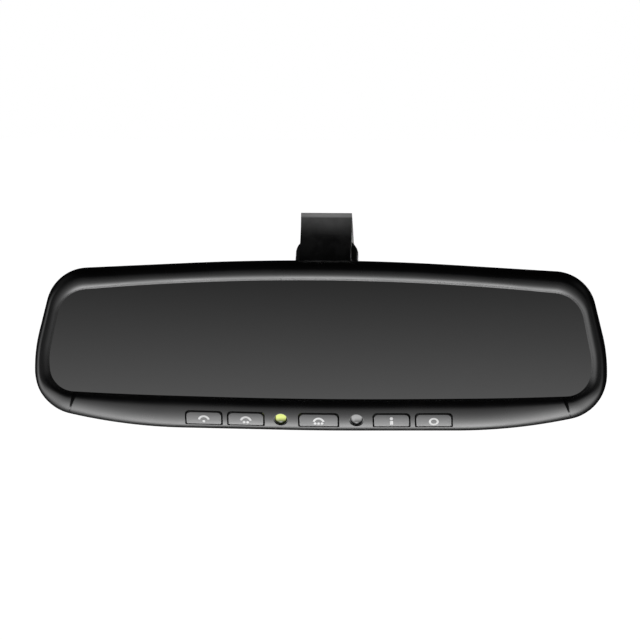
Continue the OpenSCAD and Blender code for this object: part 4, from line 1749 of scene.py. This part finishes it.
@dataclass
class Studio:
    """A plain pale floor, a soft surround, two light cards and the camera."""

    azimuth: float = 3.4
    elevation: float = 4.2
    distance: float = 1400.0
    view_width: float = 286.0
    aim_up: float = 11.2
    roll: float = 0.27
    aim_back: float = 9.0
    sensor: float = 36.0
    floor_drop: float = 260.0
    floor_half: float = 20000.0
    cards: tuple[LightCard, ...] = (REAR_CARD, MOUNT_CARD)
    pool: float = 9.0
    pool_power: float = 7.5
    horizon: float = 0.07
    left: float = 2.2
    right: float = 0.35
    high_sides: float = 0.12
    least: float = 0.005

    def build(self) -> None:
        """Builds the floor, the surround and the camera."""
        self.build_floor()
        self.build_surround()
        for card in self.cards:
            self.build_card(card)
        self.build_camera()
        bpy.context.scene.view_settings.view_transform = "Standard"

    def build_camera(self) -> None:
        """Aims the camera at the middle of the head."""
        az, el = math.radians(self.azimuth), math.radians(self.elevation)
        back = Vector((math.sin(az) * math.cos(el), -math.cos(az) * math.cos(el), math.sin(el)))
        turn = (-back).to_track_quat("-Z", "Y").to_matrix().to_4x4()
        aim = HEAD + Vector((0, self.aim_back, 0)) + turn.to_3x3() @ Vector((0, self.aim_up, 0))
        data = bpy.data.cameras.new("camera")
        data.sensor_width = self.sensor
        data.lens = self.sensor * self.distance / self.view_width
        data.clip_start, data.clip_end = 0.05, 20
        camera = bpy.data.objects.new("camera", data)
        camera.matrix_world = (Matrix.Translation((aim + back * self.distance) * MM) @ turn
                               @ Matrix.Rotation(math.radians(self.roll), 4, "Z"))
        bpy.context.scene.collection.objects.link(camera)
        bpy.context.scene.camera = camera

    def build_card(self, card: "LightCard") -> None:
        """Hangs one small soft light.

        Args:
            card: The light's place, aim, size and power.
        """
        data = bpy.data.lights.new(card.name, "AREA")
        data.shape = "RECTANGLE"
        data.size, data.size_y = (side * MM for side in card.size)
        data.energy = card.power
        data.spread = math.radians(card.spread)
        lamp = bpy.data.objects.new(card.name, data)
        facing = (Vector(card.aim) - Vector(card.place)).to_track_quat("-Z", "Y").to_matrix().to_4x4()
        lamp.matrix_world = Matrix.Translation((HEAD + Vector(card.place)) * MM) @ facing
        lamp.visible_camera = False
        bpy.context.scene.collection.objects.link(lamp)

    def build_floor(self) -> None:
        """Lays a wide pale floor well under the mirror."""
        bm = bmesh.new()
        bmesh.ops.create_grid(bm, x_segments=4, y_segments=4, size=self.floor_half)
        floor = finish_mesh(bm, "studio_floor", Matrix.Translation((0, 0, -self.floor_drop)))
        if floor.data.polygons[0].normal.z < 0:
            floor.data.flip_normals()
        material, w, shader = new_material("pale_floor")
        noise = w.node("TexNoise", {"Vector": w.node("TexCoord").outputs["Object"], "Scale": 3.0})
        w.give(shader.inputs["Base Color"],
               w.blend(noise.outputs["Fac"], rgba((0.92,) * 3), rgba((0.96,) * 3)))
        shader.inputs["Roughness"].default_value = 0.9
        shader.inputs["Emission Color"].default_value = WHITE
        shader.inputs["Emission Strength"].default_value = 1.0
        clear = w.node("BsdfTransparent")
        side = w.node("NewGeometry").outputs["Backfacing"]
        seen = w.node("MixShader", {0: side, 1: shader.outputs["BSDF"], 2: clear.outputs["BSDF"]})
        w.give(next(n for n in material.node_tree.nodes if n.type == "OUTPUT_MATERIAL").inputs["Surface"],
               seen.outputs[0])
        floor.data.materials.append(material)
        floor.visible_diffuse = floor.visible_glossy = floor.visible_shadow = False

    def build_surround(self) -> None:
        """Lights the studio with a soft surround that is brightest below and to the left."""
        world = bpy.data.worlds.new("surround")
        bpy.context.scene.world = world
        world.use_nodes = True
        world.node_tree.nodes.clear()
        w = Wiring(world.node_tree)
        ray = w.node("SeparateXYZ", {0: w.node("TexCoord").outputs["Generated"]})
        x, y, z = (ray.outputs[k] for k in "XYZ")
        down = w.sum("MAXIMUM", w.sum("MULTIPLY", z, -1.0), 0.0)
        below = w.sum("MULTIPLY", w.sum("POWER", down, self.pool_power), self.pool)
        below = w.sum("MULTIPLY", below, w.spread(y, 0.2, -0.15, 0.02, 1.0))
        ahead = w.spread(down, 0.0, 0.6, self.horizon, self.horizon + 0.75)
        tall = w.spread(z, 0.6, -0.3)
        left = w.sum("MULTIPLY", w.spread(x, -0.3, -0.95), self.left)
        right = w.sum("MULTIPLY", w.spread(x, 0.3, 0.95), self.right)
        sides = w.sum("MULTIPLY", w.sum("ADD", left, right), tall)
        open_front = w.spread(y, 0.5, -0.2)
        dim_above = w.spread(z, 0.25, -0.05, 0.1, 1.0)
        around = w.sum("MULTIPLY", w.sum("ADD", w.sum("MULTIPLY", ahead, dim_above), sides), open_front)
        high_sides = w.sum("MULTIPLY", w.spread(w.sum("ABSOLUTE", x), 0.35, 0.8), w.spread(z, 0.3, 0.7))
        light = w.sum("ADD", w.sum("ADD", below, around), w.sum("MULTIPLY", high_sides, self.high_sides))
        light = w.sum("ADD", light, self.least)
        soft = w.node("Background", {"Strength": light})
        seen = w.node("Background", {"Strength": 1.0, "Color": WHITE})
        camera = w.node("LightPath").outputs["Is Camera Ray"]
        mixed = w.node("MixShader", {0: camera, 1: soft.outputs[0], 2: seen.outputs[0]})
        w.node("OutputWorld", {"Surface": mixed.outputs[0]})


# ---------------------------------------------------------------- the whole


def dress_nodes(finishes: dict[str, bpy.types.Material]) -> None:
    """Gives each CAD node that stays in view the finish of its material slot.

    Args:
        finishes: The finishes, by material slot.
    """
    for part in frame["record"]["subparts"]:
        node = frame["nodes"][part["node"]]
        node.data.materials.clear()
        node.data.materials.append(finishes[part["material_slot"]])


def build_finishes() -> dict[str, bpy.types.Material]:
    """Builds every finish, by the name of its material slot.

    Returns:
        The finishes, by material slot.
    """
    glass_low, glass_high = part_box("front_glass")
    window_z = HEAD.z + FORM.chin_point(WINDOW_X, ChinPlace.share).y
    lens_top, lens_foot = window_z + 1.6, window_z - 0.9
    steel = Metal("zinc_steel", (0.45, 0.45, 0.46), 0.34)
    makers = {
        "bezel_plastic": MouldedPlastic("bezel_plastic", (0.004, 0.004, 0.0043), 0.28, 0.7, bump=0.05,
                                        wear=0.1, dust=0.01),
        "housing_plastic": MouldedPlastic("housing_plastic", (0.014, 0.014, 0.015), 0.46, 0.5, bump=0.3,
                                          wear=0.3, grain_size=1500.0, dust=0.1),
        "button_plastic": MouldedPlastic("button_plastic", (0.09, 0.09, 0.091), 0.36, 0.7, bump=0.06,
                                         wear=0.2),
        # The glass carries a painted reflection: darker at its top, lighter at its foot.
        "dimming_glass": DimmingGlass("dimming_glass", 0.3, 0.8, glass_high.z / MM, glass_low.z / MM),
        "mirror_plate": Metal("mirror_plate", (0.6, 0.62, 0.64), 0.08),
        "seal": MouldedPlastic("seal_resin", (0.02, 0.02, 0.02), 0.6),
        "clip_metal": Metal("clip_metal", (0.72, 0.6, 0.36), 0.3),
        "foam": Foam("foam", (0.1, 0.1, 0.1)),
        "carrier_plastic": MouldedPlastic("carrier_plastic", (0.1, 0.1, 0.105), 0.5),
        "board": BoardMask("board_mask"),
        "chip": MouldedPlastic("chip_resin", (0.02, 0.02, 0.02), 0.55, wear=0.1),
        "can_steel": Metal("can_steel", (0.65, 0.65, 0.66), 0.28),
        # Both lenses carry painted light and shade between lens_top and lens_foot; the sensor lens's glow is
        # painted light.
        "led_lens_plastic": Lens("led_lens_plastic", (0.85, 0.95, 0.3), (0.008, 0.012, 0.0), 0.95,
                                 lens_top, lens_foot),
        "sensor_lens_plastic": Lens("sensor_lens_plastic", (0.5, 0.5, 0.5), (0.008, 0.008, 0.008), 0.8,
                                    lens_top, lens_foot),
        "sensor_die": MouldedPlastic("sensor_die", (0.03, 0.03, 0.045), 0.15, coat=0.5),
        "led_body": MouldedPlastic("led_body", (0.7, 0.7, 0.62), 0.4),
        "connector_plastic": MouldedPlastic("connector_plastic", (0.6, 0.58, 0.5), 0.45, bump=0.15),
        "contact_metal": Metal("contact_metal", (0.83, 0.68, 0.38), 0.22),
        "screw_steel": steel,
        "spring_steel": Metal("spring_steel", (0.5, 0.5, 0.52), 0.25),
        "nylon": MouldedPlastic("natural_nylon", (0.62, 0.6, 0.53), 0.42, bump=0.15),
        "stay_metal": Metal("cast_stay", (0.42, 0.42, 0.43), 0.42, 1500.0),
        "stay_cover_plastic": MouldedPlastic("stay_cover_plastic", (0.02, 0.02, 0.022), 0.45, bump=0.3),
        # The bracket's paint carries painted light: lighter towards its top, darker where the head's shadow
        # falls, with a painted highlight along its top edge.
        "bracket_metal": PaintWithPaintedLight("bracket_paint", (0.006, 0.006, 0.0063), 0.58, 0.08, grain_size=1100.0,
                                   bump=0.3, wear=0.4, dust=0.03, painted_lit_top=(0.085, 0.085, 0.085),
                                   painted_edge_highlight=(0.26, 0.26, 0.26), low_z=-3.0, high_z=9.5, edge_z=8.0),
        "ring_plastic": MouldedPlastic("ring_plastic", (0.035, 0.035, 0.037), 0.45, bump=0.25),
        "pad_rubber": MouldedPlastic("pad_rubber", (0.16, 0.16, 0.165), 0.7, bump=0.2),
    }
    return {slot: maker.build() for slot, maker in makers.items()}


def main() -> None:
    """Builds the mirror's pieces in order, dresses them and sets the studio."""
    logging.basicConfig(level=logging.INFO, format="%(message)s")
    finishes = build_finishes()
    dress_nodes(finishes)
    ink = MouldedPlastic("printed_ink", (0.55, 0.55, 0.55), 0.5, bump=0.05).build()
    buttons = [ChinButton("opener_button_one", -OUTER_BUTTON_X, BUTTON_WIDTH, Mark.ONE),
               ChinButton("opener_button_two", -INNER_BUTTON_X, BUTTON_WIDTH, Mark.TWO),
               ChinButton("opener_button_three", 0, MIDDLE_BUTTON_WIDTH, Mark.THREE),
               ChinButton("light_button", INNER_BUTTON_X, BUTTON_WIDTH, Mark.BAR),
               ChinButton("power_button", OUTER_BUTTON_X, BUTTON_WIDTH, Mark.RING)]
    FrontBezel().build(finishes["bezel_plastic"], buttons, [-WINDOW_X, WINDOW_X])
    RearHousing().build(finishes["housing_plastic"])
    for button in buttons:
        button.build(finishes["button_plastic"], ink)
    for node, slot, x in (("led_lens", "led_lens_plastic", -WINDOW_X),
                          ("glare_sensor_lens", "sensor_lens_plastic", WINDOW_X)):
        WindowLens(node, slot, x).build(finishes[slot])
    GlassPlate().build(finishes["dimming_glass"])
    for end, body, place in (("lower", "lower", AT_LOWER_BALL), ("upper", "upper", AT_UPPER_BALL)):
        for shell in (BallShell(end + "_ball_seat", body + "_seat", "nylon", place, 8.1, 9.6, 4, 0.8),
                      BallShell(end + "_clamp_sleeve", body + "_sleeve", "spring_steel", place,
                                9.7, 10.7, 6, 1.0)):
            shell.build(finishes[shell.slot])
    Stay().build(finishes["stay_metal"], finishes["stay_cover_plastic"])
    Bracket().build(finishes["bracket_metal"], finishes["ring_plastic"], finishes["screw_steel"])
    for part in (SoftPart("socket_ring", "head", "ring_plastic", 0.2),
                 SoftPart("socket_cup", "head", "ring_plastic", 0.2),
                 SoftPart("connector_header", "head", "connector_plastic", 0.15),
                 SoftPart("connector_pins", "head", "contact_metal", 0.08)):
        part.build(finishes[part.slot])
    Studio().build()


if __name__ == "__main__":
    main()
